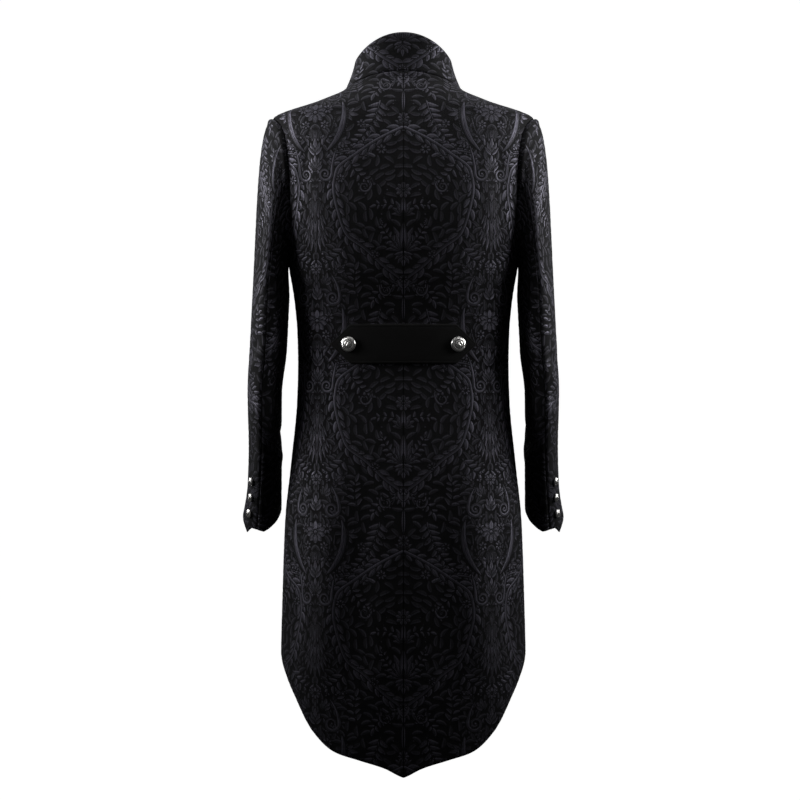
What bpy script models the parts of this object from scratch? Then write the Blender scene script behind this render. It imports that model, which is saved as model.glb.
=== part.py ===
"""A steampunk tailcoat in black brocade, worn-shaped and empty, cut as a tailor would cut it.

Two backs and two fronts meet at the centre back, side and shoulder seams, with edge-to-edge fronts
that curve away into a pointed tail. Two-piece sleeves bend at the elbow, a tall stand collar closes
the neck, and a buttoned half belt lies across the back waist.

The frame is +Z up with the front towards -Y and the wearer's left at +X. The origin is the middle of
the neck opening, level with the inner ends of the shoulder seams. Tables are in millimetres and
degrees; geometry is in metres.
"""

import math
from collections import namedtuple

import bpy
from mathutils import Matrix, Vector

MM = 0.001

# Cloth
WALL = 1.8  # heavy brocade
COLLAR_WALL = 3.0  # the same brocade, folded double
BELT_WALL = 2.4
SEAM = 0.3  # gap between pieces at a seam
FRONT_OPENING = 1.2  # gap between the two front edges

# The body, from the neckline down. side_z is the height at the side; back_rise and front_rise are
# how much higher the same level runs at the centre back and centre front.
BodyLevel = namedtuple("BodyLevel", "side_z back_rise front_rise half_width back_depth front_depth square")
BODY = [
    BodyLevel(0, 21, -58, 92, 62, 62, 2.05),
    BodyLevel(-8, 18, -60, 103, 65, 64, 2.05),
    BodyLevel(-24, 14, -62, 145, 76, 72, 2.0),
    BodyLevel(-48, 10, -58, 208, 88, 82, 2.05),
    BodyLevel(-110, 5, -36, 205, 106, 102, 2.3),
    BodyLevel(-200, 0, -8, 195, 117, 117, 2.4),
    BodyLevel(-288, 0, 0, 182, 110, 117, 2.4),
    BodyLevel(-336, 0, 0, 174, 101, 112, 2.35),
    BodyLevel(-384, 0, 0, 169.5, 94, 106, 2.3),
    BodyLevel(-440, 0, 0, 168, 92, 103, 2.3),
    BodyLevel(-496, 0, 0, 169.5, 98, 106, 2.3),
    BodyLevel(-592, 0, 0, 178.5, 111, 112, 2.35),
    BodyLevel(-688, 0, 0, 188.5, 119, 116, 2.4),
    BodyLevel(-816, 0, 0, 193, 124, 118, 2.4),
    BodyLevel(-896, 0, 0, 195, 126, 119, 2.4),
    BodyLevel(-1090, 0, 0, 196, 128, 119, 2.4),
]
SHOULDER_Z = -48
SKIRT_TOP_Z = -448

# The hem, by the angle round the body from the centre back.
HemPoint = namedtuple("HemPoint", "angle z")
BACK_HEM = [
    HemPoint(0, -1075),
    HemPoint(6, -1061),
    HemPoint(16, -1050),
    HemPoint(29, -1038),
    HemPoint(42, -1010),
    HemPoint(59, -955),
    HemPoint(74, -920),
    HemPoint(90, -894),
]
CUTAWAY_Z = -470  # where the front edge starts to curve away
CUTAWAY_STRAIGHT = 0.52  # share of the cutaway that runs straight, the rest being an ellipse

# The armhole is an oval round the side seam, seen from the side.
ARMHOLE_TOP_Z = SHOULDER_Z
ARMHOLE_BOTTOM_Z = -282
ARMHOLE_HALF_DEPTH = 61
ARMHOLE_SQUARE = 2.3

# The left sleeve, from the upper arm down. lean turns each ring forward about X.
SleeveRing = namedtuple("SleeveRing", "x y z half_side half_depth lean")
SLEEVE = [
    SleeveRing(212.0, -2, -336, 29.2, 78, 0),
    SleeveRing(216.0, 0, -416, 29.4, 75, 3),
    SleeveRing(221.5, 0, -486, 27.0, 71, 11),
    SleeveRing(221.8, -14, -556, 26.2, 67, 17),
    SleeveRing(224.0, -35, -622, 27.0, 63, 20),
    SleeveRing(227.5, -55, -678, 29.0, 60, 21),
]
CAP_REACH = 16  # how far the sleeve leaves the armhole sideways before it falls, at the back
CAP_REACH_CHANGE = 10  # more than that at the shoulder, less at the armpit
CAP_FALL = 0.5  # share of the drop to the first ring where the fall steers the curve
CAP_SPREAD = 0.35  # how far the sleeve leaves the armhole backwards and forwards, for each step outwards
CAP_DROP = 0.1  # and downwards
CAP_EASE = 1.5  # crowds the cap's rows towards the armhole
ARMHOLE_GAP = 0.45  # from the armhole's edge to the sleeve's

# The elbow seam runs down the back of the sleeve and swings outwards at the cuff.
ELBOW_SEAM = 90
CUFF_SEAM = 77
ELBOW_RING = 2
FRONT_SEAM = -105

# The cuff flares on its outside, over the last part of the sleeve.
CUFF_FLARE = 5
CUFF_FLARE_RINGS = 0.9

# How far the cuff's edge hangs below the last ring, by the angle round the sleeve from its outside.
CuffPoint = namedtuple("CuffPoint", "turn drop")
CUFF_EDGE = [
    CuffPoint(-105, 0),
    CuffPoint(-45, 0),
    CuffPoint(0, 7),
    CuffPoint(25, 10),
    CuffPoint(41, 17),
    CuffPoint(57, 5),
    CuffPoint(77, 5),
    CuffPoint(100, 8),
    CuffPoint(130, 3),
    CuffPoint(165, 0),
    CuffPoint(255, 0),
]

# The collar stands on the neckline and leans inwards.
COLLAR_BACK_HEIGHT = 60
COLLAR_SIDE_HEIGHT = 43
COLLAR_FRONT_HEIGHT = 36
COLLAR_RISE = 1.3  # how sharply it rises from the sides to the back
COLLAR_TOP_HALF_WIDTH = 77
COLLAR_TOP_BACK_DEPTH = 57
COLLAR_TOP_FRONT_DEPTH = 60
COLLAR_CORNER = 14  # radius of the rounded front corners
COLLAR_LIFT = 0.8  # above the neckline
COLLAR_HOLLOW = 1.5  # how far its middle height bends inwards

# The half belt and its buttons.
BELT_TOP_Z = -378
BELT_HEIGHT = 62
BELT_HALF_LENGTH = 113  # across the body, to the tip
BELT_TAPER = 31
BELT_TIP_HEIGHT = 2
BELT_LIFT = 0.7  # over the backs' outside
BELT_BUTTON_X = 84
BELT_BUTTON_GAP = 0.5
BUTTON_RADIUS = 12
BUTTON_HEIGHT = 7.6
CUFF_BUTTON_RADIUS = 7
CUFF_BUTTON_HEIGHT = 5.2
CUFF_BUTTON_TURN = 50
CUFF_BUTTON_LIFT = 0.8  # over the sleeve
CUFF_BUTTON_Z = (-609, -635, -661)

# A button's profile, as shares of its radius and height: its dome starts at the rim, and its back is
# smaller than its rim.
BUTTON_RIM = 0.3
BUTTON_EDGE_RADIUS = 0.97
BUTTON_EDGE_HEIGHT = 0.12
BUTTON_BACK_RADIUS = 0.86

# Mesh steps
BODY_COLUMNS = 8
SKIRT_ROWS = 9
CHEST_LEVELS = (-378, -409, -440)  # the belt's edges and middle line, so that it lies flat
UNDERARM_ROWS = 3
TURN_STEP = 15
SHOULDER_ROWS = 3
CAP_ROWS = 7
RING_ROWS = 2
COLLAR_COLUMNS = 36
COLLAR_ROWS = 3
BELT_COLUMNS = 24
SLEEVE_ROWS = CAP_ROWS + RING_ROWS * (len(SLEEVE) - 1)
DOME_STEPS = 5
BUTTON_SIDES = 16
SHARP_ANGLE = math.radians(40)

# Steps for slopes, in millimetres, degrees, sleeve rings and shares of the collar's height
HEIGHT_STEP = 0.5
TURN_SLOPE_STEP = 0.5
SLOPE_STEP = 0.02

COLOURS = {
    "brocade": ((0.016, 0.015, 0.018, 1), 0.55, 0.0),
    "velvet": ((0.006, 0.006, 0.007, 1), 0.9, 0.0),
    "silver": ((0.62, 0.62, 0.64, 1), 0.28, 1.0),
}


class SmoothCurve:
    """A curve through (place, value) pairs, in rising order of place, that never overshoots them."""

    def __init__(self, places, values):
        self.places = list(places)
        self.values = list(values)
        steps = [
            (v1 - v0) / (p1 - p0)
            for p0, p1, v0, v1 in zip(self.places, self.places[1:], self.values, self.values[1:])
        ]
        self.slopes = [steps[0]]
        for before, after in zip(steps, steps[1:]):
            level = before * after <= 0
            self.slopes.append(0.0 if level else 2 * before * after / (before + after))
        self.slopes.append(steps[-1])

    def __call__(self, place):
        place = min(max(place, self.places[0]), self.places[-1])
        i = max(k for k in range(len(self.places) - 1) if self.places[k] <= place)
        span = self.places[i + 1] - self.places[i]
        t = (place - self.places[i]) / span
        return (
            (1 + 2 * t) * (1 - t) ** 2 * self.values[i]
            + t * (1 - t) ** 2 * span * self.slopes[i]
            + t * t * (3 - 2 * t) * self.values[i + 1]
            + t * t * (t - 1) * span * self.slopes[i + 1]
        )


def curves_of(table, key):
    """A SmoothCurve over each column of a table, by the column that key names."""
    rows = sorted(table, key=lambda row: getattr(row, key))
    places = [getattr(row, key) for row in rows]
    return {
        name: SmoothCurve(places, [getattr(row, name) for row in rows])
        for name in table[0]._fields
        if name != key
    }


BODY_CURVES = curves_of(BODY, "side_z")
HEM_CURVE = curves_of(BACK_HEM, "angle")["z"]
SLEEVE_CURVES = [
    SmoothCurve(range(len(SLEEVE)), [ring[k] for ring in SLEEVE]) for k in range(len(SLEEVE[0]))
]


def body_level(side_z):
    return BodyLevel(side_z, **{name: curve(side_z) for name, curve in BODY_CURVES.items()})


def signed_power(value, exponent):
    return math.copysign(abs(value) ** exponent, value)


def body_point(side_z, angle):
    """A point of the coat's outside, in millimetres. angle is 0 at the centre back, 90 at the left side."""
    level = body_level(side_z)
    sine, cosine = math.sin(math.radians(angle)), math.cos(math.radians(angle))
    behind = cosine > 0
    depth = level.back_depth if behind else level.front_depth
    rise = level.back_rise if behind else level.front_rise
    return Vector(
        (
            level.half_width * signed_power(sine, 2 / level.square),
            depth * signed_power(cosine, 2 / level.square),
            side_z + rise * cosine * cosine,
        )
    )


def body_normal(side_z, angle):
    """The outward direction of the coat's outside."""
    along = body_point(side_z, angle + TURN_SLOPE_STEP) - body_point(side_z, angle - TURN_SLOPE_STEP)
    up = body_point(side_z + HEIGHT_STEP, angle) - body_point(side_z - HEIGHT_STEP, angle)
    normal = up.cross(along).normalized()
    if angle in (0, 180):
        normal.x = 0
    if angle == 90:
        normal.y = 0
    return normal


def angle_across(side_z, x):
    """The angle where the back of this level is x from the centre."""
    level = body_level(side_z)
    return math.degrees(math.asin((x / level.half_width) ** (level.square / 2)))


def hem_z(angle):
    """The hem's height: a pointed tail behind, and a cutaway curve in front of the side."""
    if angle <= 90:
        return HEM_CURVE(angle)
    share = (angle - 90) / 90
    curve = CUTAWAY_STRAIGHT * share + (1 - CUTAWAY_STRAIGHT) * (1 - math.sqrt(1 - share * share))
    return HEM_CURVE(90) + (CUTAWAY_Z - HEM_CURVE(90)) * curve


def armhole(turn):
    """The (side_z, angle) of the armhole's edge. turn is 0 at the shoulder, 90 behind, 180 at the armpit."""
    sine, cosine = math.sin(math.radians(turn)), math.cos(math.radians(turn))
    middle = (ARMHOLE_TOP_Z + ARMHOLE_BOTTOM_Z) / 2
    half = (ARMHOLE_TOP_Z - ARMHOLE_BOTTOM_Z) / 2
    side_z = middle + half * signed_power(cosine, 2 / ARMHOLE_SQUARE)
    level = body_level(side_z)
    reach = ARMHOLE_HALF_DEPTH * abs(sine) ** (2 / ARMHOLE_SQUARE)
    depth = level.back_depth if sine > 0 else level.front_depth
    from_centre = math.degrees(math.acos((reach / depth) ** (level.square / 2)))
    return side_z, from_centre if sine > 0 else 180 - from_centre


def shares(steps):
    """Even shares from 0 to 1."""
    return [k / steps for k in range(steps + 1)]


def panel_rows(centre, half_turn):
    """Rows of (side_z, angle) from the hem to the neckline. centre is the angle of the panel's centre
    edge, 0 or 180, and half_turn is the side of the armhole that it borders, 1 behind or -1 in front."""
    columns = shares(BODY_COLUMNS)
    full = [centre + (90 - centre) * share for share in columns]
    rows = []
    for k in range(SKIRT_ROWS):
        part = k / SKIRT_ROWS
        rows.append([(hem_z(a) + (SKIRT_TOP_Z - hem_z(a)) * part, a) for a in full])
    for side_z in sorted((SKIRT_TOP_Z, *CHEST_LEVELS)):
        rows.append([(side_z, a) for a in full])
    for k in range(1, UNDERARM_ROWS + 1):
        side_z = CHEST_LEVELS[0] + (ARMHOLE_BOTTOM_Z - CHEST_LEVELS[0]) * k / (UNDERARM_ROWS + 1)
        rows.append([(side_z, a) for a in full])
    for turn in range(180, -1, -TURN_STEP):
        side_z, edge = armhole(turn * half_turn) if 0 < turn < 180 else (armhole(turn)[0], 90)
        rows.append([(side_z, centre + (edge - centre) * share) for share in columns])
    for k in range(1, SHOULDER_ROWS + 1):
        rows.append([(SHOULDER_Z * (1 - k / SHOULDER_ROWS), a) for a in full])
    return rows


def back_wall(side_z, angle):
    """The left back's outer and inner points here, half a seam away from the centre back and the side."""
    outer = body_point(side_z, angle)
    inner = outer - body_normal(side_z, angle) * WALL
    return [Vector((max(p.x, SEAM / 2), max(p.y, SEAM / 2), p.z)) for p in (outer, inner)]


def front_wall(side_z, angle):
    """The left front's outer and inner points here, clear of the other front and of the side seam."""
    outer = body_point(side_z, angle)
    inner = outer - body_normal(side_z, angle) * WALL
    return [Vector((max(p.x, FRONT_OPENING / 2), min(p.y, -SEAM / 2), p.z)) for p in (outer, inner)]


def sleeve_ring(place, turn):
    """A point of the left sleeve below its cap. place counts rings down from the upper arm."""
    x, y, z, half_side, half_depth, lean = (curve(place) for curve in SLEEVE_CURVES)
    outside = math.cos(math.radians(turn))
    flare = max(0.0, (place - len(SLEEVE) + 1) / CUFF_FLARE_RINGS + 1) * max(0.0, outside)
    out = half_side * outside + CUFF_FLARE * flare * flare
    back = half_depth * math.sin(math.radians(turn))
    lean = math.radians(lean)
    return Vector((x + out, y + back * math.cos(lean), z - back * math.sin(lean)))


def sleeve_cap(share, turn):
    """A point between the armhole's edge, at share 0, and the first ring, at share 1."""
    sine, cosine = math.sin(math.radians(turn)), math.cos(math.radians(turn))
    start = body_point(*armhole(turn)) if sine else body_point(armhole(turn)[0], 90)
    outwards = Vector((1, CAP_SPREAD * sine, -CAP_DROP)).normalized()
    start = start + outwards * ARMHOLE_GAP
    end = sleeve_ring(0, turn)
    fall = (sleeve_ring(SLOPE_STEP, turn) - end).normalized()
    near = start + outwards * (CAP_REACH + CAP_REACH_CHANGE * cosine)
    far = end - fall * (start.z - end.z) * CAP_FALL
    rest = 1 - share
    return start * rest**3 + near * 3 * rest * rest * share + far * 3 * rest * share * share + end * share**3


def cuff_drop(turn):
    """How far the cuff's edge hangs below the last ring, with straight runs between its corners."""
    for before, after in zip(CUFF_EDGE, CUFF_EDGE[1:]):
        if before.turn <= turn <= after.turn:
            part = (turn - before.turn) / (after.turn - before.turn)
            return before.drop + (after.drop - before.drop) * part
    return 0.0


def sleeve_point(row, turn):
    """A point of the left sleeve. row counts the cap's steps, then the rings' steps to the cuff's edge."""
    if row <= CAP_ROWS:
        return sleeve_cap((row / CAP_ROWS) ** CAP_EASE, turn)
    last = len(SLEEVE) - 1
    place = min((row - CAP_ROWS) / RING_ROWS, last)
    point = sleeve_ring(place, turn)
    if place < last:
        return point
    return point + Vector((0, 0, -1)) * cuff_drop(turn)


def seam_turn(row):
    """Where the elbow seam is on this row of the sleeve."""
    elbow = CAP_ROWS + RING_ROWS * ELBOW_RING
    part = min(max((row - elbow) / (SLEEVE_ROWS - elbow), 0), 1)
    return ELBOW_SEAM + (CUFF_SEAM - ELBOW_SEAM) * part * part * (3 - 2 * part)


def sleeve_wall(row, turn, seam_side):
    """The sleeve's outer and inner points here. At a seam both move half its width aside, by seam_side."""
    around = sleeve_point(row, turn + TURN_SLOPE_STEP) - sleeve_point(row, turn - TURN_SLOPE_STEP)
    above, below = max(row - SLOPE_STEP, 0), min(row + SLOPE_STEP, SLEEVE_ROWS - SLOPE_STEP)
    down = sleeve_point(below, turn) - sleeve_point(min(above, below - SLOPE_STEP), turn)
    normal = down.cross(around).normalized()
    outer = sleeve_point(row, turn) + normal.cross(down).normalized() * seam_side * SEAM / 2
    return [outer, outer - normal * WALL]


def sleeve_walls(first_seam, last_seam):
    """Rows of walls from the armhole to the cuff, between two functions of the row that give the seams."""
    columns = shares(round((last_seam(0) - first_seam(0)) / TURN_STEP))
    rows = []
    for row in range(SLEEVE_ROWS + 1):
        first, last = first_seam(row), last_seam(row)
        sides = [1] + [0] * (len(columns) - 2) + [-1]
        rows.append([sleeve_wall(row, first + (last - first) * c, side) for c, side in zip(columns, sides)])
    return rows


def material(name):
    found = bpy.data.materials.get(name)
    if found:
        return found
    made = bpy.data.materials.new(name)
    made.use_nodes = True
    shader = made.node_tree.nodes["Principled BSDF"]
    colour, roughness, metallic = COLOURS[name]
    shader.inputs["Base Color"].default_value = colour
    shader.inputs["Roughness"].default_value = roughness
    shader.inputs["Metallic"].default_value = metallic
    made.diffuse_color = colour
    return made


def add_object(name, mesh, material_name, collection):
    made = bpy.data.objects.new(name, mesh)
    collection.objects.link(made)
    mesh.materials.append(material(material_name))
    mesh.shade_smooth()
    mesh.set_sharp_from_angle(angle=SHARP_ANGLE)
    return made


def cloth_piece(name, walls, clockwise, material_name, collection):
    """A closed wall of cloth, from rows of (outer, inner) pairs of points, in millimetres."""
    width, count = len(walls[0]), len(walls[0]) * len(walls)
    cells = [(j * width + i) for j in range(len(walls) - 1) for i in range(width - 1)]
    outer = [(c, c + 1, c + width + 1, c + width) for c in cells]
    inner = [tuple(count + c for c in reversed(face)) for face in outer]
    bottom, top = list(range(width)), list(range(count - width, count))
    left, right = list(range(0, count, width)), list(range(width - 1, count, width))
    edge = bottom + right[1:] + top[-2::-1] + left[-2:0:-1]
    rim = [(b, a, count + a, count + b) for a, b in zip(edge, edge[1:] + edge[:1])]
    faces = outer + inner + rim
    if clockwise:
        faces = [face[::-1] for face in faces]
    points = [pair[skin] * MM for skin in (0, 1) for row in walls for pair in row]
    mesh = bpy.data.meshes.new(name)
    mesh.from_pydata(points, [], faces)
    return add_object(name, mesh, material_name, collection)


def mirrored(point):
    return Vector((-point.x, point.y, point.z))


def both_sides(name, walls, clockwise, collection):
    """The left piece as given, and the right one as its mirror image."""
    cloth_piece(name + "_left", walls, clockwise, "brocade", collection)
    other = [[[mirrored(point) for point in pair] for pair in row] for row in walls]
    cloth_piece(name + "_right", other, not clockwise, "brocade", collection)


def build_backs_and_fronts(collection):
    both_sides("back", [[back_wall(*place) for place in row] for row in panel_rows(0, 1)], True, collection)
    fronts = [[front_wall(*place) for place in row] for row in panel_rows(180, -1)]
    both_sides("front", fronts, False, collection)


def build_sleeves(collection):
    both_sides("sleeve_upper", sleeve_walls(lambda row: FRONT_SEAM, seam_turn), True, collection)
    both_sides("sleeve_under", sleeve_walls(seam_turn, lambda row: FRONT_SEAM + 360), True, collection)


def collar_height(angle):
    """The collar's height above the neckline, by the angle from the centre back."""
    cosine = math.cos(math.radians(angle))
    end = COLLAR_BACK_HEIGHT if cosine > 0 else COLLAR_FRONT_HEIGHT
    return COLLAR_SIDE_HEIGHT + (end - COLLAR_SIDE_HEIGHT) * abs(cosine) ** COLLAR_RISE


def collar_point(angle, share):
    """A point of the collar's outside. share is 0 at the neckline and 1 at the top edge."""
    neck = BODY[0]
    sine, cosine = math.sin(math.radians(angle)), math.cos(math.radians(angle))
    behind = cosine > 0
    foot = body_point(0, angle)
    top_depth = COLLAR_TOP_BACK_DEPTH if behind else COLLAR_TOP_FRONT_DEPTH
    top = Vector(
        (
            COLLAR_TOP_HALF_WIDTH * signed_power(sine, 2 / neck.square),
            top_depth * signed_power(cosine, 2 / neck.square),
            foot.z + collar_height(angle),
        )
    )
    inwards = -Vector((foot.x, foot.y, 0)).normalized()
    return foot + (top - foot) * share + inwards * COLLAR_HOLLOW * math.sin(math.pi * share)


def collar_wall(angle, share):
    """The collar's outer and inner points, its front corners rounded off and its front edges apart."""
    reach = abs(collar_point(angle, 1).x) if abs(angle) > 90 else COLLAR_CORNER
    short = max(0.0, 1 - reach / COLLAR_CORNER)
    part = share * (1 - COLLAR_CORNER * (1 - math.sqrt(1 - short * short)) / collar_height(angle))
    outer = collar_point(angle, part)
    around = collar_point(angle + TURN_SLOPE_STEP, part) - collar_point(angle - TURN_SLOPE_STEP, part)
    up = collar_point(angle, part + SLOPE_STEP) - collar_point(angle, part - SLOPE_STEP)
    inner = outer - up.cross(around).normalized() * COLLAR_WALL
    lift = Vector((0, 0, COLLAR_LIFT))
    if abs(angle) > 90:
        side = math.copysign(1, angle)
        outer.x, inner.x = (side * max(side * p.x, FRONT_OPENING / 2) for p in (outer, inner))
    return [outer + lift, inner + lift]


def build_collar(collection):
    """One strip round the neck, from front edge to front edge."""
    angles = [360 * share - 180 for share in shares(COLLAR_COLUMNS)]
    walls = [[collar_wall(angle, share) for angle in angles] for share in shares(COLLAR_ROWS)]
    cloth_piece("collar", walls, True, "brocade", collection)


def belt_half_height(x):
    """Half the belt's height at this distance from the centre: level, then tapering to its tip."""
    past = max(0.0, (abs(x) - (BELT_HALF_LENGTH - BELT_TAPER)) / BELT_TAPER)
    return (BELT_HEIGHT * (1 - past) + BELT_TIP_HEIGHT * past) / 2


def belt_point(x, share, lift):
    """A point on the belt's line, lift above the backs. share runs from -1, its lower edge, to 1."""
    side_z = BELT_TOP_Z - BELT_HEIGHT / 2 + share * belt_half_height(x)
    angle = math.copysign(angle_across(side_z, abs(x)), x)
    return body_point(side_z, angle) + body_normal(side_z, angle) * lift


def build_belt(collection):
    across = [BELT_HALF_LENGTH * (2 * share - 1) for share in shares(BELT_COLUMNS)]
    lifts = (BELT_LIFT + BELT_WALL, BELT_LIFT)
    walls = [[[belt_point(x, share, lift) for lift in lifts] for x in across] for share in (-1, 0, 1)]
    cloth_piece("back_belt", walls, True, "velvet", collection)


def build_button(name, radius, height, place, outwards, collection):
    """A domed metal button, turned from its profile, with the middle of its back on place."""
    rim = height * BUTTON_RIM
    profile = []
    for k in range(DOME_STEPS + 1):
        turn = k / DOME_STEPS * math.pi / 2
        profile.append((radius * math.sin(turn), rim + (height - rim) * math.cos(turn)))
    profile.append((radius * BUTTON_EDGE_RADIUS, height * BUTTON_EDGE_HEIGHT))
    profile += [(radius * BUTTON_BACK_RADIUS, 0.0), (0.0, 0.0)]
    mesh = bpy.data.meshes.new(name)
    points = [(across * MM, 0.0, up * MM) for across, up in profile]
    mesh.from_pydata(points, [(k, k + 1) for k in range(len(points) - 1)], [])
    made = add_object(name, mesh, "silver", collection)
    screw = made.modifiers.new("turned", "SCREW")
    screw.steps = screw.render_steps = BUTTON_SIDES
    screw.use_merge_vertices = True
    screw.merge_threshold = 0.01 * MM
    turned = outwards.to_track_quat("Z", "Y").to_matrix().to_4x4()
    made.matrix_world = Matrix.Translation(place * MM) @ turned


def build_belt_buttons(collection):
    lift = BELT_LIFT + BELT_WALL + BELT_BUTTON_GAP
    for name, x in (("left", BELT_BUTTON_X), ("right", -BELT_BUTTON_X)):
        outwards = belt_point(x, 0, 1) - belt_point(x, 0, 0)
        size = (BUTTON_RADIUS, BUTTON_HEIGHT)
        build_button(f"belt_button_{name}", *size, belt_point(x, 0, lift), outwards, collection)


def cuff_button_places():
    """Where each of the left cuff's buttons sits, and which way it faces."""
    place_of = SmoothCurve([-ring.z for ring in SLEEVE], range(len(SLEEVE)))
    turn = CUFF_BUTTON_TURN
    for z in CUFF_BUTTON_Z:
        place = place_of(-z)
        around = sleeve_ring(place, turn + TURN_SLOPE_STEP) - sleeve_ring(place, turn - TURN_SLOPE_STEP)
        down = sleeve_ring(place + SLOPE_STEP, turn) - sleeve_ring(place - SLOPE_STEP, turn)
        outwards = down.cross(around).normalized()
        yield sleeve_ring(place, turn) + outwards * CUFF_BUTTON_LIFT, outwards


def build_cuff_buttons(collection):
    size = (CUFF_BUTTON_RADIUS, CUFF_BUTTON_HEIGHT)
    for number, (place, outwards) in enumerate(cuff_button_places(), start=1):
        build_button(f"cuff_button_left_{number}", *size, place, outwards, collection)
        build_button(f"cuff_button_right_{number}", *size, mirrored(place), mirrored(outwards), collection)


def main():
    for old in list(bpy.data.objects):
        bpy.data.objects.remove(old)
    collection = bpy.data.collections.new("steampunk_tailcoat")
    bpy.context.scene.collection.children.link(collection)
    build_backs_and_fronts(collection)
    build_sleeves(collection)
    build_collar(collection)
    build_belt(collection)
    build_belt_buttons(collection)
    build_cuff_buttons(collection)


main()
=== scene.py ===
"""The looks of a steampunk tailcoat in black damask brocade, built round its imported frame.

Run it as a script. Sizes are in millimetres in the tables and in metres in the scene. The coat faces
-Y, its wearer's left is at +X, and the origin is the middle of the neck opening. Each cloth piece is a
thin shell on its CAD solid's form, on a fine grid: u runs across the cloth from the piece's grain line
and v runs up it, so that the damask lies on the cut cloth and not in space.
"""

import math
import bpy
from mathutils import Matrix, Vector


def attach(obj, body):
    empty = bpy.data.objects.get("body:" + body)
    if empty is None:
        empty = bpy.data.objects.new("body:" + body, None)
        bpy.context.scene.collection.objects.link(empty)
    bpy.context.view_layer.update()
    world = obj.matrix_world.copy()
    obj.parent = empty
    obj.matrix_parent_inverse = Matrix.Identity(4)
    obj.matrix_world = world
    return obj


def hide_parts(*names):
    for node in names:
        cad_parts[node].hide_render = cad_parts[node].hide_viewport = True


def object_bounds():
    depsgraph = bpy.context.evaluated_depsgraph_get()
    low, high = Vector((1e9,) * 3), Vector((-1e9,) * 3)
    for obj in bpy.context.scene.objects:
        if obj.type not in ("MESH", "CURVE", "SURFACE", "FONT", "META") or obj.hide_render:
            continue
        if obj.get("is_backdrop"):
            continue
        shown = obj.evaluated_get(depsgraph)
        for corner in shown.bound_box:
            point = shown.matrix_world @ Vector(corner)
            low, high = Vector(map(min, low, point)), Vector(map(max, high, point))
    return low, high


bl_info = {
    "name": "Steampunk Tailcoat",
    "version": (1, 0, 0),
    "blender": (4, 5, 0),
    "location": "View3D > Sidebar > Tailcoat",
    "description": "Builds a black damask tailcoat with a half belt, domed buttons and a pale stage",
    "category": "Add Mesh",
}

from collections import namedtuple

import bpy
import numpy as np
from bpy.props import FloatProperty, FloatVectorProperty, IntProperty, PointerProperty
from mathutils import Matrix, Vector

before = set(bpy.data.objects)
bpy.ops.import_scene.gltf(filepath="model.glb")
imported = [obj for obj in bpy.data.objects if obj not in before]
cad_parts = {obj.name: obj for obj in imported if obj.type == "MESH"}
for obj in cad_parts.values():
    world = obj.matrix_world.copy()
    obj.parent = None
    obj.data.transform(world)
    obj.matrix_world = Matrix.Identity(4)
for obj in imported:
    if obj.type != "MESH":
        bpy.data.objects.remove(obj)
CAD_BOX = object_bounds()

MM = 0.001

# ---------------------------------------------------------------------------------------------
# The cut, as the frame has it
# ---------------------------------------------------------------------------------------------

BodyLevel = namedtuple("BodyLevel", "side_z back_rise front_rise half_width back_depth front_depth square")
BODY = [
    BodyLevel(0, 21, -58, 92, 62, 62, 2.05),
    BodyLevel(-8, 18, -60, 103, 65, 64, 2.05),
    BodyLevel(-24, 14, -62, 145, 76, 72, 2.0),
    BodyLevel(-48, 10, -58, 208, 88, 82, 2.05),
    BodyLevel(-110, 5, -36, 205, 106, 102, 2.3),
    BodyLevel(-200, 0, -8, 195, 117, 117, 2.4),
    BodyLevel(-288, 0, 0, 182, 110, 117, 2.4),
    BodyLevel(-336, 0, 0, 174, 101, 112, 2.35),
    BodyLevel(-384, 0, 0, 169.5, 94, 106, 2.3),
    BodyLevel(-440, 0, 0, 168, 92, 103, 2.3),
    BodyLevel(-496, 0, 0, 169.5, 98, 106, 2.3),
    BodyLevel(-592, 0, 0, 178.5, 111, 112, 2.35),
    BodyLevel(-688, 0, 0, 188.5, 119, 116, 2.4),
    BodyLevel(-816, 0, 0, 193, 124, 118, 2.4),
    BodyLevel(-896, 0, 0, 195, 126, 119, 2.4),
    BodyLevel(-1090, 0, 0, 196, 128, 119, 2.4),
]
SHOULDER_Z = -48
SKIRT_TOP_Z = -448

HemPoint = namedtuple("HemPoint", "angle z")
BACK_HEM = [
    HemPoint(0, -1075),
    HemPoint(6, -1061),
    HemPoint(16, -1050),
    HemPoint(29, -1038),
    HemPoint(42, -1010),
    HemPoint(59, -955),
    HemPoint(74, -920),
    HemPoint(90, -894),
]
CUTAWAY_Z = -470
CUTAWAY_STRAIGHT = 0.52

ARMHOLE_BOTTOM_Z = -282
ARMHOLE_HALF_DEPTH = 61
ARMHOLE_SQUARE = 2.3

SleeveRing = namedtuple("SleeveRing", "x y z half_side half_depth lean")
SLEEVE = [
    SleeveRing(212.0, -2, -336, 29.2, 78, 0),
    SleeveRing(216.0, 0, -416, 29.4, 75, 3),
    SleeveRing(221.5, 0, -486, 27.0, 71, 11),
    SleeveRing(221.8, -14, -556, 26.2, 67, 17),
    SleeveRing(224.0, -35, -622, 27.0, 63, 20),
    SleeveRing(227.5, -55, -678, 29.0, 60, 21),
]
LAST_RING = len(SLEEVE) - 1
CAP_REACH = 16
CAP_REACH_CHANGE = 10
CAP_FALL = 0.5
CAP_SPREAD = 0.35
CAP_DROP = 0.1
ELBOW_SEAM = 90
CUFF_SEAM = 77
ELBOW_RING = 2
FRONT_SEAM = -105
CUFF_FLARE = 5
CUFF_FLARE_RINGS = 0.9
CUFF_SHAPED = 0.5  # the cuff's edge takes shape over this part of the last ring's step

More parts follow.
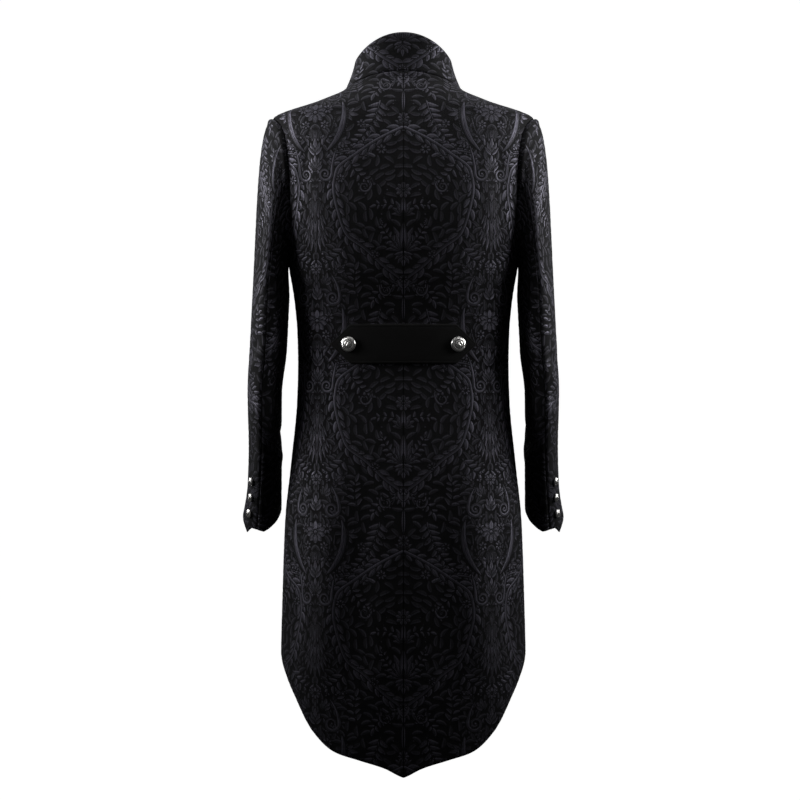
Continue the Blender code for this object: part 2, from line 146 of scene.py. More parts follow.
CuffPoint = namedtuple("CuffPoint", "turn drop")
CUFF_EDGE = [
    CuffPoint(-105, 0),
    CuffPoint(-45, 0),
    CuffPoint(0, 7),
    CuffPoint(25, 10),
    CuffPoint(41, 17),
    CuffPoint(57, 5),
    CuffPoint(77, 5),
    CuffPoint(100, 8),
    CuffPoint(130, 3),
    CuffPoint(165, 0),
    CuffPoint(255, 0),
]

COLLAR_BACK_HEIGHT = 60
COLLAR_SIDE_HEIGHT = 43
COLLAR_FRONT_HEIGHT = 36
COLLAR_RISE = 1.3
COLLAR_TOP_HALF_WIDTH = 77
COLLAR_TOP_BACK_DEPTH = 57
COLLAR_TOP_FRONT_DEPTH = 60
COLLAR_CORNER = 14
COLLAR_LIFT = 0.8
COLLAR_HOLLOW = 1.5

BELT_TOP_Z = -378
BELT_HEIGHT = 62
BELT_HALF_LENGTH = 113
BELT_TAPER = 31
BELT_TIP_HEIGHT = 2
BELT_LIFT = 0.7
BELT_BUTTON_X = 84
BELT_BUTTON_GAP = 0.5
CUFF_BUTTON_TURN = 50
CUFF_BUTTON_Z = (-609, -635, -661)

FRONT_OPENING = 1.2
WALL = 1.8
COLLAR_WALL = 3.0
BELT_WALL = 2.4
STITCH_INSET, STITCH_WIDTH, STITCH_DEPTH = 5, 0.8, 0.3  # the row of stitches inside the belt's edge

# ---------------------------------------------------------------------------------------------
# What a user would change
# ---------------------------------------------------------------------------------------------


class TailcoatClothSettings(bpy.types.PropertyGroup):
    """How finely the cloth is modelled, and how deep its seams and creases are."""

    grid: FloatProperty(
        name="Grid",
        description="Spacing of the cloth's points",
        default=0.0022,
        min=0.0015,
        max=0.02,
        unit="LENGTH",
    )
    inside_step: IntProperty(
        name="Inside Step",
        description="How many times coarser the inside's grid is",
        default=4,
        min=1,
        max=12,
    )
    seam_sink: FloatProperty(
        name="Seam Sink", description="How deep a pressed seam lies", default=0.0012, min=0, unit="LENGTH"
    )
    crease_scale: FloatProperty(
        name="Creases", description="Scales every crease's depth", default=1.2, min=0, max=2, subtype="FACTOR"
    )


class TailcoatColourSettings(bpy.types.PropertyGroup):
    """The finishes' colours."""

    ground: FloatVectorProperty(
        name="Ground",
        description="Matt ground of the damask",
        default=(0.0028, 0.0028, 0.0034),
        subtype="COLOR",
        min=0,
        max=1,
    )
    figure: FloatVectorProperty(
        name="Figure",
        description="Satin figure of the damask",
        default=(0.050, 0.048, 0.062),
        subtype="COLOR",
        min=0,
        max=1,
    )
    reverse: FloatVectorProperty(
        name="Reverse",
        description="The brocade's wrong side",
        default=(0.01, 0.0098, 0.011),
        subtype="COLOR",
        min=0,
        max=1,
    )
    velvet: FloatVectorProperty(
        name="Velvet",
        description="Half belt",
        default=(0.0012, 0.0012, 0.0013),
        subtype="COLOR",
        min=0,
        max=1,
    )
    silver: FloatVectorProperty(
        name="Silver", description="Buttons", default=(0.78, 0.77, 0.75), subtype="COLOR", min=0, max=1
    )
    stage: FloatVectorProperty(
        name="Stage",
        description="Floor and backdrop",
        default=(0.86, 0.86, 0.86),
        subtype="COLOR",
        min=0,
        max=1,
    )


class TailcoatDamaskSettings(bpy.types.PropertyGroup):
    """The size and place of the damask's repeat."""

    half_repeat: FloatProperty(
        name="Half Repeat",
        description="From the axis of one column of figures to the next",
        default=0.14,
        min=0.05,
        unit="LENGTH",
    )
    rise: FloatProperty(
        name="Rise", description="Height of one repeat", default=0.33, min=0.1, unit="LENGTH"
    )
    outline: FloatProperty(
        name="Outline", description="Ground left round each leaf", default=0.0009, min=0, unit="LENGTH"
    )


class TailcoatLightSettings(bpy.types.PropertyGroup):
    """The studio's lamps."""

    side_power: FloatProperty(name="Side Lamps", description="Power of each side softbox", default=6.0, min=0)
    fill_power: FloatProperty(
        name="Fill Lamps", description="Power of each lamp straight behind and in front", default=0.6, min=0
    )
    top_power: FloatProperty(name="Top Lamp", description="Power of the lamp overhead", default=9.5, min=0)
    stage_glow: FloatProperty(
        name="Stage Glow", description="Light that the stage itself gives to the camera", default=1.16, min=0
    )


# ---------------------------------------------------------------------------------------------
# Curves and surfaces
# ---------------------------------------------------------------------------------------------


def smooth_curve(places, values, at):
    """Values at these places of a curve that passes smoothly through the table and never overshoots."""
    places, values, at = np.asarray(places, float), np.asarray(values, float), np.asarray(at, float)
    spans, steps = np.diff(places), np.diff(values) / np.diff(places)
    before, after = steps[:-1], steps[1:]
    turns = before * after <= 0
    inner = np.where(turns, 0.0, 2 * before * after / np.where(turns, 1.0, before + after))
    slopes = np.concatenate([steps[:1], inner, steps[-1:]])
    at = np.clip(at, places[0], places[-1])
    i = np.clip(np.searchsorted(places, at, side="right") - 1, 0, len(spans) - 1)
    span = spans[i]
    t = (at - places[i]) / span
    return (
        (1 + 2 * t) * (1 - t) ** 2 * values[i]
        + t * (1 - t) ** 2 * span * slopes[i]
        + t * t * (3 - 2 * t) * values[i + 1]
        + t * t * (t - 1) * span * slopes[i + 1]
    )


def column(table, name):
    return [getattr(row, name) for row in table]


def matched(first, second):
    """Two numbers or arrays as float arrays of one shape."""
    return np.broadcast_arrays(np.asarray(first, float), np.asarray(second, float))


def run_along(points, axis=0):
    """How far each point is from the first, along this axis of its line or grid."""
    steps = np.linalg.norm(np.diff(points, axis=axis), axis=-1)
    start = np.zeros_like(np.take(steps, [0], axis=axis))
    return np.concatenate([start, np.cumsum(steps, axis=axis)], axis=axis)


def body_size(name, side_z):
    levels = BODY[::-1]
    return smooth_curve(column(levels, "side_z"), column(levels, name), side_z)


def signed_power(value, exponent):
    return np.sign(value) * np.abs(value) ** exponent


def body_point(side_z, angle):
    """Points of the coat's outside. angle is 0 at the centre back and 90 at the left side."""
    side_z, angle = matched(side_z, np.radians(np.asarray(angle, float)))
    sine, cosine = np.sin(angle), np.cos(angle)
    behind = cosine > 0
    power = 2 / body_size("square", side_z)
    depth = np.where(behind, body_size("back_depth", side_z), body_size("front_depth", side_z))
    rise = np.where(behind, body_size("back_rise", side_z), body_size("front_rise", side_z))
    x = body_size("half_width", side_z) * signed_power(sine, power)
    y = depth * signed_power(cosine, power)
    return np.stack([x, y, side_z + rise * cosine * cosine], axis=-1)


def back_hem_z(angle):
    return smooth_curve(column(BACK_HEM, "angle"), column(BACK_HEM, "z"), angle)


def hem_z(angle):
    """The hem's height: a pointed tail behind, and a cutaway curve in front of the side."""
    share = np.clip((np.asarray(angle, float) - 90) / 90, 0, 1)
    curve = CUTAWAY_STRAIGHT * share + (1 - CUTAWAY_STRAIGHT) * (1 - np.sqrt(1 - share * share))
    side = back_hem_z(90)
    return np.where(angle <= 90, back_hem_z(np.minimum(angle, 90)), side + (CUTAWAY_Z - side) * curve)


def armhole(turn):
    """The (side_z, angle) of the armhole's edge. turn is 0 at the shoulder, 90 behind, 180 at the armpit."""
    turn = np.radians(np.asarray(turn, float))
    sine, cosine = np.sin(turn), np.cos(turn)
    middle, half = (SHOULDER_Z + ARMHOLE_BOTTOM_Z) / 2, (SHOULDER_Z - ARMHOLE_BOTTOM_Z) / 2
    side_z = middle + half * signed_power(cosine, 2 / ARMHOLE_SQUARE)
    reach = ARMHOLE_HALF_DEPTH * np.abs(sine) ** (2 / ARMHOLE_SQUARE)
    depth = np.where(sine > 0, body_size("back_depth", side_z), body_size("front_depth", side_z))
    angle = np.degrees(np.arccos((reach / depth) ** (body_size("square", side_z) / 2)))
    return side_z, np.where(sine > 0, angle, 180 - angle)


def sleeve_size(name, place):
    return smooth_curve(range(len(SLEEVE)), column(SLEEVE, name), place)


def cuff_drop(place, turn):
    """How far the cuff's shaped edge hangs below its ring."""
    shaped = np.clip((place - LAST_RING) / CUFF_SHAPED + 1, 0, 1)
    return np.interp(turn, column(CUFF_EDGE, "turn"), column(CUFF_EDGE, "drop")) * shaped


def sleeve_ring(place, turn):
    """Points of the left sleeve below its cap. place counts rings down from the upper arm."""
    place, turn = matched(place, np.radians(np.asarray(turn, float)))
    outside = np.cos(turn)
    flare = np.maximum(0, (place - LAST_RING) / CUFF_FLARE_RINGS + 1) * np.maximum(0, outside)
    out = sleeve_size("half_side", place) * outside + CUFF_FLARE * flare * flare
    back = sleeve_size("half_depth", place) * np.sin(turn)
    lean = np.radians(sleeve_size("lean", place))
    drop = cuff_drop(place, np.degrees(turn))
    return np.stack(
        [
            sleeve_size("x", place) + out,
            sleeve_size("y", place) + back * np.cos(lean),
            sleeve_size("z", place) - back * np.sin(lean) - drop,
        ],
        axis=-1,
    )


def unit(vectors):
    return vectors / np.maximum(np.linalg.norm(vectors, axis=-1, keepdims=True), 1e-9)


def sleeve_cap(share, turn):
    """Points between the armhole's edge, at share 0, and the first ring, at share 1."""
    share, turn = matched(share, turn)
    sine, cosine = np.sin(np.radians(turn)), np.cos(np.radians(turn))
    outwards = unit(np.stack([np.ones_like(sine), CAP_SPREAD * sine, np.full_like(sine, -CAP_DROP)], axis=-1))
    start = body_point(*armhole(turn))
    end = sleeve_ring(0, turn)
    fall = unit(sleeve_ring(0.02, turn) - end)
    near = start + outwards * (CAP_REACH + CAP_REACH_CHANGE * cosine)[..., None]
    far = end - fall * ((start - end)[..., 2] * CAP_FALL)[..., None]
    t = share[..., None]
    rest = 1 - t
    return start * rest**3 + near * 3 * rest * rest * t + far * 3 * rest * t * t + end * t**3


def sleeve_point(down, turn):
    """Points of the left sleeve. down is 0 at the armhole, 1 at the first ring, then counts the rings."""
    down, turn = matched(down, turn)
    cap = sleeve_cap(np.clip(down, 0, 1), turn)
    ring = sleeve_ring(np.clip(down - 1, 0, LAST_RING), turn)
    return np.where((down < 1)[..., None], cap, ring)


def elbow_seam(down):
    """Where the elbow seam is, as a turn round the sleeve."""
    part = np.clip((np.asarray(down, float) - 1 - ELBOW_RING) / (LAST_RING - ELBOW_RING), 0, 1)
    return ELBOW_SEAM + (CUFF_SEAM - ELBOW_SEAM) * part * part * (3 - 2 * part)


# ---------------------------------------------------------------------------------------------
# Grids of cloth
# ---------------------------------------------------------------------------------------------

Cloth = namedtuple("Cloth", "points u v")
EDGE_STEPS = (0.0, 0.7, 1.5, 2.6)  # columns crowd like this beside a seam, in millimetres
DENSE = 241
ARMHOLE_LENGTH = 300  # of half the armhole
SHOULDER_LENGTH = 110
SLEEVE_LENGTH = 690
STEEPEST = 0.25  # least slope that the cloth's length is worked out with
ARMHOLE_TUCK = 1.6  # how far a sleeve's top goes in under the armhole's edge
WIDTH_Z = -200  # the level whose width sets how many columns a body panel has
SLEEVE_LINE = 20  # the turn of the line that a sleeve's rows are spaced along


def seam_shares(length, step):
    """Shares along a line of this length, crowded at both ends and even between."""
    ends = np.array(EDGE_STEPS)
    middle = np.linspace(ends[-1], length - ends[-1], max(3, int(round(length / step))))
    return np.concatenate([ends[:-1], middle, length - ends[-2::-1]]) / length


def even_line(path, shares):
    """The parameters at these shares of a path's length. path gives points for parameters from 0 to 1."""
    dense = np.linspace(0, 1, DENSE)
    points = path(dense)
    length = run_along(points)
    return np.interp(np.asarray(shares) * length[-1], length, dense)


def arc_table(levels, angles):
    """Length round the body from the first angle, at each level."""
    return run_along(body_point(levels[:, None], angles[None, :]), 1)


def bilinear(table, rows, cols, at_row, at_col):
    """A table's values between its rows and columns."""
    r = np.interp(at_row, rows, np.arange(len(rows)))
    c = np.interp(at_col, cols, np.arange(len(cols)))
    r0, c0 = np.clip(r.astype(int), 0, len(rows) - 2), np.clip(c.astype(int), 0, len(cols) - 2)
    fr, fc = r - r0, c - c0
    upper = table[r0, c0] * (1 - fc) + table[r0, c0 + 1] * fc
    lower = table[r0 + 1, c0] * (1 - fc) + table[r0 + 1, c0 + 1] * fc
    return upper * (1 - fr) + lower * fr


def panel_lines(centre, half_turn, step):
    """Lines across a body panel, from hem to neckline: functions that give side_z and angle for shares."""
    lines = []

    def across(height, edge=90.0):
        lines.append(lambda s: (height(centre + (edge - centre) * s), centre + (edge - centre) * s))

    def level(side_z, edge=90.0):
        across(lambda angle: np.full_like(angle, side_z), edge)

    def steps(length):
        return int(round(length / step))

    for part in np.linspace(0, 1, steps(SKIRT_TOP_Z - back_hem_z(45)))[:-1]:
        across(lambda angle, part=part: hem_z(angle) + (SKIRT_TOP_Z - hem_z(angle)) * part)
    for side_z in np.linspace(SKIRT_TOP_Z, ARMHOLE_BOTTOM_Z, steps(ARMHOLE_BOTTOM_Z - SKIRT_TOP_Z))[:-1]:
        level(side_z)
    border = even_line(
        lambda t: body_point(*armhole(half_turn * 180 * (1 - t))), np.linspace(0, 1, steps(ARMHOLE_LENGTH))
    )
    for turn in 180 * (1 - border):
        level(*(float(x) for x in armhole(half_turn * turn)))
    for side_z in np.linspace(SHOULDER_Z, 0, steps(SHOULDER_LENGTH))[1:]:
        level(side_z)
    return lines


def body_panel(centre, half_turn, step):
    """The left back, for centre 0, or the left front, for centre 180, as a grid of cloth."""
    lines = panel_lines(centre, half_turn, step)
    around = centre + (90 - centre) * np.linspace(0, 1, 121)
    levels = np.concatenate([np.linspace(-1095, -60, 60), np.linspace(-58, 0, 40)])
    arcs = arc_table(levels, around)
    shares = seam_shares(np.interp(WIDTH_Z, levels, arcs[:, -1]), step)
    places = []
    for line in lines:
        places.append(line(even_line(lambda s: body_point(*line(s)), shares)))
    heights, angles = (np.array(x) for x in zip(*places))
    points = body_point(heights, angles)
    sign = 1 if centre == 0 else -1
    u = bilinear(arcs, levels, around * sign, heights, angles * sign)
    tilt = np.sqrt(1 - grid_normals(points)[..., 2] ** 2)
    climb = np.diff(points[..., 2], axis=0) / np.maximum((tilt[1:] + tilt[:-1]) / 2, STEEPEST)
    v = np.concatenate([points[:1, :, 2], climb]).cumsum(axis=0)
    if centre == 180:
        points[..., 0] = np.maximum(points[..., 0], FRONT_OPENING / 2)
    return Cloth(points, u, v)


def sleeve_panel(first, last, step):
    """A left sleeve piece between two functions that give its seams' turns."""
    length = LAST_RING + 1
    rows = np.linspace(0, 1, int(SLEEVE_LENGTH / step))
    even = even_line(lambda t: sleeve_point(t * length, SLEEVE_LINE), rows)
    downs = even * length
    elbow = sleeve_point(ELBOW_RING, np.linspace(first(ELBOW_RING), last(ELBOW_RING), 60))
    shares = seam_shares(np.linalg.norm(np.diff(elbow, axis=0), axis=1).sum(), step)
    turns = []
    for down in downs:
        start, end = first(down), last(down)
        turns.append(start + (end - start) * even_line(
            lambda t: sleeve_point(down, start + (end - start) * t), shares
        ))
    points = sleeve_point(downs[:, None], np.array(turns))
    points[0] -= unit(points[1] - points[0]) * ARMHOLE_TUCK
    across = run_along(points, 1)
    u = across - across[:, -1:] / 2
    above_cuff = run_along(points[::-1])[::-1]
    v = above_cuff - above_cuff[0, len(shares) // 2]
    return Cloth(points, u, v)


def grid_normals(points):
    """Each grid point's normal, from the grid's own slopes."""
    across, up = np.gradient(points, axis=1), np.gradient(points, axis=0)
    return unit(np.cross(up, across))


def edge_distance(points):
    """How far each point is from its row's two ends, along the row."""
    along = run_along(points, 1)
    return np.minimum(along, along[:, -1:] - along)


# ---------------------------------------------------------------------------------------------
# Creases, listed one by one
# ---------------------------------------------------------------------------------------------

Crease = namedtuple("Crease", "piece u0 v0 u1 v1 width depth")
CREASES = [
    # The back: u is positive on the left back, and v is 0 at the neckline and falls to the hem.
    Crease("back", 60, -560, 78, -1010, 26, -3.2),
    Crease("back", 112, -590, 128, -985, 22, 2.4),
    Crease("back", 170, -600, 182, -930, 20, -3.0),
    Crease("back", 28, -660, 34, -1000, 18, 1.5),
    Crease("back", -56, -600, -70, -1000, 24, -2.8),
    Crease("back", -104, -570, -126, -1000, 24, 2.8),
    Crease("back", -164, -620, -176, -940, 22, -2.6),
    Crease("back", 196, -296, 120, -352, 9, -1.8),
    Crease("back", 200, -318, 138, -380, 10, 1.5),
    Crease("back", -192, -300, -112, -346, 10, -2.0),
    Crease("back", -198, -330, -142, -396, 9, 1.4),
    Crease("back", 205, -420, 128, -446, 8, -1.6),
    Crease("back", 205, -452, 140, -500, 10, 1.4),
    Crease("back", -205, -428, -120, -452, 9, -1.7),
    Crease("back", -204, -470, -150, -520, 11, 1.3),
    Crease("back", 150, -70, 165, -190, 14, -2.2),
    Crease("back", -148, -74, -160, -200, 15, -2.0),
    Crease("back", 60, -40, 130, -78, 15, 1.2),
    Crease("back", -66, -44, -126, -74, 14, 1.1),
    # The front: u is positive on the left front.
    Crease("front", 150, -76, 160, -210, 14, -2.4),
    Crease("front", -146, -80, -162, -196, 16, -2.2),
    Crease("front", 190, -300, 104, -372, 11, -2.2),
    Crease("front", 196, -340, 128, -420, 10, 1.6),
    Crease("front", -194, -306, -96, -366, 12, -2.3),
    Crease("front", -198, -350, -134, -430, 10, 1.5),
    Crease("front", 120, -500, 150, -760, 20, -2.6),
    Crease("front", -116, -500, -150, -740, 22, -2.4),
    Crease("front", 175, -560, 184, -850, 18, 1.9),
    Crease("front", -172, -540, -186, -840, 18, 2.1),
    # The sleeves: v is 0 at the armhole and falls to the cuff. u is 0 in the piece's middle. On the left
    # it is positive towards an upper sleeve's elbow seam or an under sleeve's forearm seam, and on the
    # right it is negative there.
    Crease("sleeve_upper", 96, -330, 20, -372, 11, -2.4),
    Crease("sleeve_upper", 92, -362, 34, -392, 9, 1.6),
    Crease("sleeve_upper", -92, -352, -10, -396, 12, -2.6),
    Crease("sleeve_upper", -96, -384, -30, -420, 10, 1.8),
    Crease("sleeve_upper", -88, -420, -24, -452, 10, -1.8),
    Crease("sleeve_upper", 60, -60, 84, -190, 12, -1.6),
    Crease("sleeve_upper", -70, -70, -86, -200, 13, -1.8),
    Crease("sleeve_upper", 70, -470, 40, -560, 14, -1.4),
    Crease("sleeve_under", -60, -250, 30, -290, 10, -2.0),
    Crease("sleeve_under", 66, -262, -16, -306, 10, -1.8),
    Crease("sleeve_under", -50, -300, 40, -330, 9, 1.4),
    Crease("sleeve_under", -56, -60, -20, -150, 14, -1.6),
]
SEAM_FADE = 22.0  # creases fade out over this much beside a seam
CREASE_ENDS = 2.6  # how soon a crease reaches its depth, for each share of its length
CREASE_START = 0.12  # what it has of that at its very end
HEAD_RISE = 2.2  # how far the sleeve's head stands up beside the armhole's seam
HEAD_DOWN = 8.0  # where, from the seam
HEAD_WIDTH = 5.0


def crease_relief(piece, side, cloth):
    """How far the creases move each point along its normal."""
    relief = np.zeros_like(cloth.u)
    u, v = cloth.u * side, cloth.v
    for c in CREASES:
        if c.piece != piece:
            continue
        du, dv = c.u1 - c.u0, c.v1 - c.v0
        run = du * du + dv * dv
        along = ((u - c.u0) * du + (v - c.v0) * dv) / run
        aside = np.abs((u - c.u0) * dv - (v - c.v0) * du) / math.sqrt(run)
        ends = np.clip(np.minimum(along, 1 - along) * CREASE_ENDS + CREASE_START, 0, 1)
        relief += c.depth * np.exp(-((aside / c.width) ** 2)) * ends * ends * (3 - 2 * ends)
    if piece == "sleeve_upper":
        relief += HEAD_RISE * np.exp(-(((run_along(cloth.points) - HEAD_DOWN) / HEAD_WIDTH) ** 2))
    away = np.clip(edge_distance(cloth.points) / SEAM_FADE, 0, 1)
    return relief * away * away * (3 - 2 * away)


# ---------------------------------------------------------------------------------------------
# The damask: one half of a repeat, drawn in leaves
# ---------------------------------------------------------------------------------------------

# x runs from the axis of one column of figures, at 0, to the axis of the next, at TILE_WIDTH; y runs
# down. Headings are 0 up, 90 away from the axis and 180 down. Everything is mirrored at both axes.
TILE_WIDTH = 140
TILE_HEIGHT = 341
TILE_TOP = -474  # the v of one repeat's top
CELL = 0.5  # millimetres in the drawing's fine map
REACH = 9.0  # how far from a leaf the drawing still knows of it

Stroke = namedtuple("Stroke", "points widths dull", defaults=[False])
Fan = namedtuple("Fan", "x y heading spread count length width bend")
Vine = namedtuple("Vine", "x y heading length bend stem leaves leaf width")
Garland = namedtuple("Garland", "places stem gap leaf width")
Band = namedtuple("Band", "x y heading length bend width")
Scroll = namedtuple("Scroll", "x y radius turns start hand width arm arm_bend")
Beads = namedtuple("Beads", "x y heading length bend count radius")
Flower = namedtuple("Flower", "x y radius petals")

GARLANDS = [
    # The medallion's border, like a shield: from its crest out to the shoulder and in to its foot
    Garland(
        (
            (2, -78), (36, -60), (74, -34), (104, -8), (109, 20),
            (100, 66), (88, 96), (60, 118), (30, 147), (3, 168),
        ),
        5.2, 15, 21, 8.4,
    ),
]
SCROLLS = [
    # On the second axis: a small pair where the vase's foot ends, and the pair on its shoulders
    Scroll(123, -2, 11.5, 1.4, 180, -1, 5.6, 50, -22),
    Scroll(112, 197, 12.5, 1.45, 185, -1, 6.2, 42, 34),
    # In the medallion's foot and crest
    Scroll(27, 186, 8.5, 1.25, 20, 1, 4.0, 22, -40),
    Scroll(60, 20, 9.0, 1.2, 150, -1, 4.2, 18, 30),
]
BANDS = [
    Band(96, 214, 196, 96, -64, 9.5),
    Band(88, 222, 192, 84, -56, 2.0),
    Band(108, 226, 190, 66, -52, 2.4),
    Band(0, 196, 180, 40, 0, 6.0),
]
BEADS = [
    Beads(122, 150, 262, 34, 24, 6, 2.0),
    Beads(129, 120, 188, 30, 10, 5, 1.8),
    Beads(22, 20, 150, 60, 40, 9, 1.5),
    Beads(12, 216, 150, 60, -24, 9, 1.5),
]
FLOWERS = [
    Flower(140, 234, 17, 10),
    Flower(119, 228, 8.5, 7),
    Flower(124, 256, 7.5, 6),
    Flower(140, 150, 9.5, 8),
    Flower(0, 26, 12, 9),
    Flower(0, 246, 9, 8),
    Flower(0, 168, 7, 7),
    Flower(98, 6, 7.5, 7),
    Flower(66, 256, 7, 6),
    Flower(44, 128, 6.5, 6),
    Flower(34, 300, 8, 7),
]
VINES = [
    # The horns above the medallion's shoulders, and the plumes under its foot
    Vine(46, -30, 62, 62, 46, 6.5, 7, 17, 7.5),
    Vine(36, 216, 170, 84, -34, 3.0, 8, 21, 8.0),
    Vine(8, 174, 96, 48, 60, 2.4, 5, 17, 6.5),
    Vine(12, 112, 50, 36, -30, 1.8, 4, 14, 5.6),
    Vine(10, 52, 66, 32, 40, 1.6, 3, 13, 5.2),
    Vine(92, 116, 150, 52, -50, 2.4, 5, 19, 7.0),
    Vine(70, 196, 28, 44, -44, 2.0, 4, 17, 6.4),
    Vine(84, 318, 200, 44, 40, 2.0, 4, 17, 6.4),
    Vine(60, 300, 340, 40, 40, 1.8, 4, 15, 6.0),
]
FANS = [
    # The medallion's palmette, from its bud down
    Fan(0, 66, 0, 150, 7, 30, 9.5, 12),
    Fan(0, 122, 0, 150, 9, 46, 12.0, 14),
    Fan(0, 124, 180, 120, 7, 26, 8.5, 12),
    Fan(0, 172, 180, 150, 7, 24, 8.0, 16),
    Fan(0, 262, 0, 130, 7, 24, 8.0, 14),
    # The drooping plume on the second axis, upper leaves over lower ones
    Fan(140, 20, 180, 70, 5, 24, 8.5, -10),
    Fan(140, 34, 180, 84, 7, 44, 7.5, -15),
    Fan(140, 54, 180, 100, 7, 54, 8.5, -17),
    Fan(140, 74, 180, 116, 9, 58, 8.5, -18),
    Fan(140, -6, 0, 120, 7, 30, 8.5, -14),
    Fan(140, -34, 0, 110, 5, 30, 9.0, -14),
    # The vase: leaves on its shoulders, in it and beside it
    Fan(104, 156, 340, 130, 5, 24, 8.5, -14),
    Fan(124, 176, 350, 120, 5, 22, 8.0, -14),
    Fan(140, 200, 0, 110, 5, 28, 8.5, -12),
    Fan(140, 262, 180, 110, 7, 28, 8.5, -12),
    Fan(124, 274, 190, 110, 4, 22, 8.0, 14),
    Fan(90, 238, 262, 140, 5, 22, 8.0, 18),
    Fan(98, 286, 236, 120, 4, 22, 8.0, 18),
    Fan(112, 312, 210, 110, 4, 22, 8.0, 18),
]
THICK_STEM = 3.5  # a thicker stem has a thin line at each side
FILL_LIMIT = 300
SPARSE, DENSE_FILL = 5.6, 2.7  # ground wider than this on either side gets another small leaf
SPARSE_TO, DENSE_FROM = 72, 96  # the small leaves crowd from the one place across to the other
FILL_LARGEST = 5.4  # the most room that a small leaf takes up on either side
FLOW_MIDDLE, FLOW_WIDTH, FLOW_HEIGHT = 60, 105, 130  # the medallion that the small leaves go round
LEAF_STEPS = 9
ARC_STEPS = 24
UNDER_GAP = 0.5  # the line of ground round a stroke that lies over another
DULL_MARK = 2  # what the share along a dull leaf starts from
FIGURE_RISE = 0.25  # how far the figure stands above its ground
FIGURE_SLOPE = 1.4  # the width of the slope at a leaf's edge


def curve_points(x, y, heading, length, bend, steps):
    """Points along an arc that starts here, turns by bend in all, and the heading at each."""
    headings = np.radians(heading + bend * (np.arange(steps) + 0.5) / steps)
    way = np.stack([np.sin(headings), -np.cos(headings)], axis=1) * length / steps
    points = np.concatenate([[[x, y]], [x, y] + np.cumsum(way, axis=0)])
    return points, heading + bend * np.arange(steps + 1) / steps


def leaf(x, y, heading, length, width, bend):
    """A pointed leaf, widest before its middle."""
    points, _ = curve_points(x, y, heading, length, bend, LEAF_STEPS)
    share = np.linspace(0, 1, LEAF_STEPS + 1)
    return Stroke(points, width / 2 * np.sin(np.pi * share**0.78) ** 0.85 + 0.12)


def dot(place, radius, tail=(0.2, 0.2)):
    """A round bead: a stroke so short that only its width shows."""
    place = np.asarray(place, float)
    return Stroke(np.stack([place, place + tail]), np.full(2, radius))


def draw_fan(fan):
    for k in range(fan.count):
        side = 2 * k / (fan.count - 1) - 1
        size = 1 - 0.34 * abs(side)
        heading = fan.heading + side * fan.spread / 2
        yield leaf(fan.x, fan.y, heading, fan.length * size, fan.width * size, side * fan.bend * 2)


def draw_vine(vine):
    points, headings = curve_points(vine.x, vine.y, vine.heading, vine.length, vine.bend, ARC_STEPS)
    yield Stroke(points, vine.stem / 2 * np.linspace(1, 0.45, len(points)))
    if vine.stem > THICK_STEM:
        at = np.radians(headings)
        aside = np.stack([np.cos(at), np.sin(at)], axis=1) * (vine.stem / 2 + 2.4)
        for side in (-1, 1):
            yield Stroke(points + side * aside, np.full(len(points), 0.75))
    for k in range(vine.leaves):
        i = int((k + 0.6) / vine.leaves * ARC_STEPS)
        for side in (-1, 1):
            size = 1 - 0.3 * k / vine.leaves
            yield leaf(*points[i], headings[i] + side * 38, vine.leaf * size, vine.width * size, side * 46)
    yield leaf(*points[-1], headings[-1], vine.leaf, vine.width, vine.bend / 4)


def draw_garland(garland):
    """A stem through these places, with pairs of leaves and berries between them."""
    places = np.array(garland.places, float)
    along = run_along(places)
    count = int(along[-1] / 4)
    at = np.linspace(0, along[-1], count)
    points = np.stack([smooth_curve(along, places[:, k], at) for k in (0, 1)], axis=1)
    ways = np.gradient(points, axis=0)
    headings = np.degrees(np.arctan2(ways[:, 0], -ways[:, 1]))
    aside = unit(np.stack([-ways[:, 1], ways[:, 0]], axis=1))
    yield Stroke(points, np.full(count, garland.stem / 2))
    for k, place in enumerate(np.arange(garland.gap / 2, along[-1], garland.gap)):
        i = min(int(place / along[-1] * count), count - 1)
        for side in (-1, 1):
            size = 1.0 if (k % 2) * 2 - 1 == side else 0.8
            yield leaf(
                *(points[i] + aside[i] * side * garland.stem * 0.4),
                headings[i] + side * 40, garland.leaf * size, garland.width * size, -side * 34
            )
            berry = points[i] + aside[i] * side * (garland.stem / 2 + 3.2) - unit(ways[i]) * 3
            yield dot(berry, 1.7)


def draw_band(band):
    """A smooth curved band that narrows to both ends."""
    points, _ = curve_points(band.x, band.y, band.heading, band.length, band.bend, ARC_STEPS)
    yield Stroke(points, band.width / 2 * np.sin(np.pi * np.linspace(0.03, 0.97, len(points))) ** 0.6)


def draw_scroll(scroll):
    """An arm that winds into a spiral and ends in a bead, with leaves springing from its outside."""
    share = np.linspace(0, 1, 30)
    turn = np.radians(scroll.start + scroll.hand * 360 * scroll.turns * share)
    radius = scroll.radius * (1 - 0.72 * share)
    centre = np.array([scroll.x, scroll.y])
    spiral = centre + radius[:, None] * np.stack([np.cos(turn), np.sin(turn)], axis=1)
    start = math.radians(scroll.start)
    back = np.degrees(math.atan2(scroll.hand * math.sin(start), scroll.hand * math.cos(start)))
    arm, _ = curve_points(*spiral[0], back, scroll.arm, scroll.arm_bend, 12)
    line = np.concatenate([arm[:0:-1], spiral])
    widths = np.concatenate([np.linspace(0.3, 1, 12), 1 - 0.45 * share]) * scroll.width / 2
    yield Stroke(line, widths)
    yield dot(centre, scroll.radius * 0.2, (0.3, 0.3))
    for k in range(3):
        i = 2 + 4 * k
        out = np.degrees(math.atan2(*(spiral[i] - centre) * (1, -1))) + scroll.hand * 50
        yield leaf(*spiral[i], out, scroll.radius * 0.95, scroll.radius * 0.4, scroll.hand * 40)
    for k in range(2):
        i = 3 + 4 * k
        heading = back - scroll.hand * 50
        yield leaf(*arm[i], heading, scroll.radius * 1.2, scroll.radius * 0.5, scroll.hand * 50)


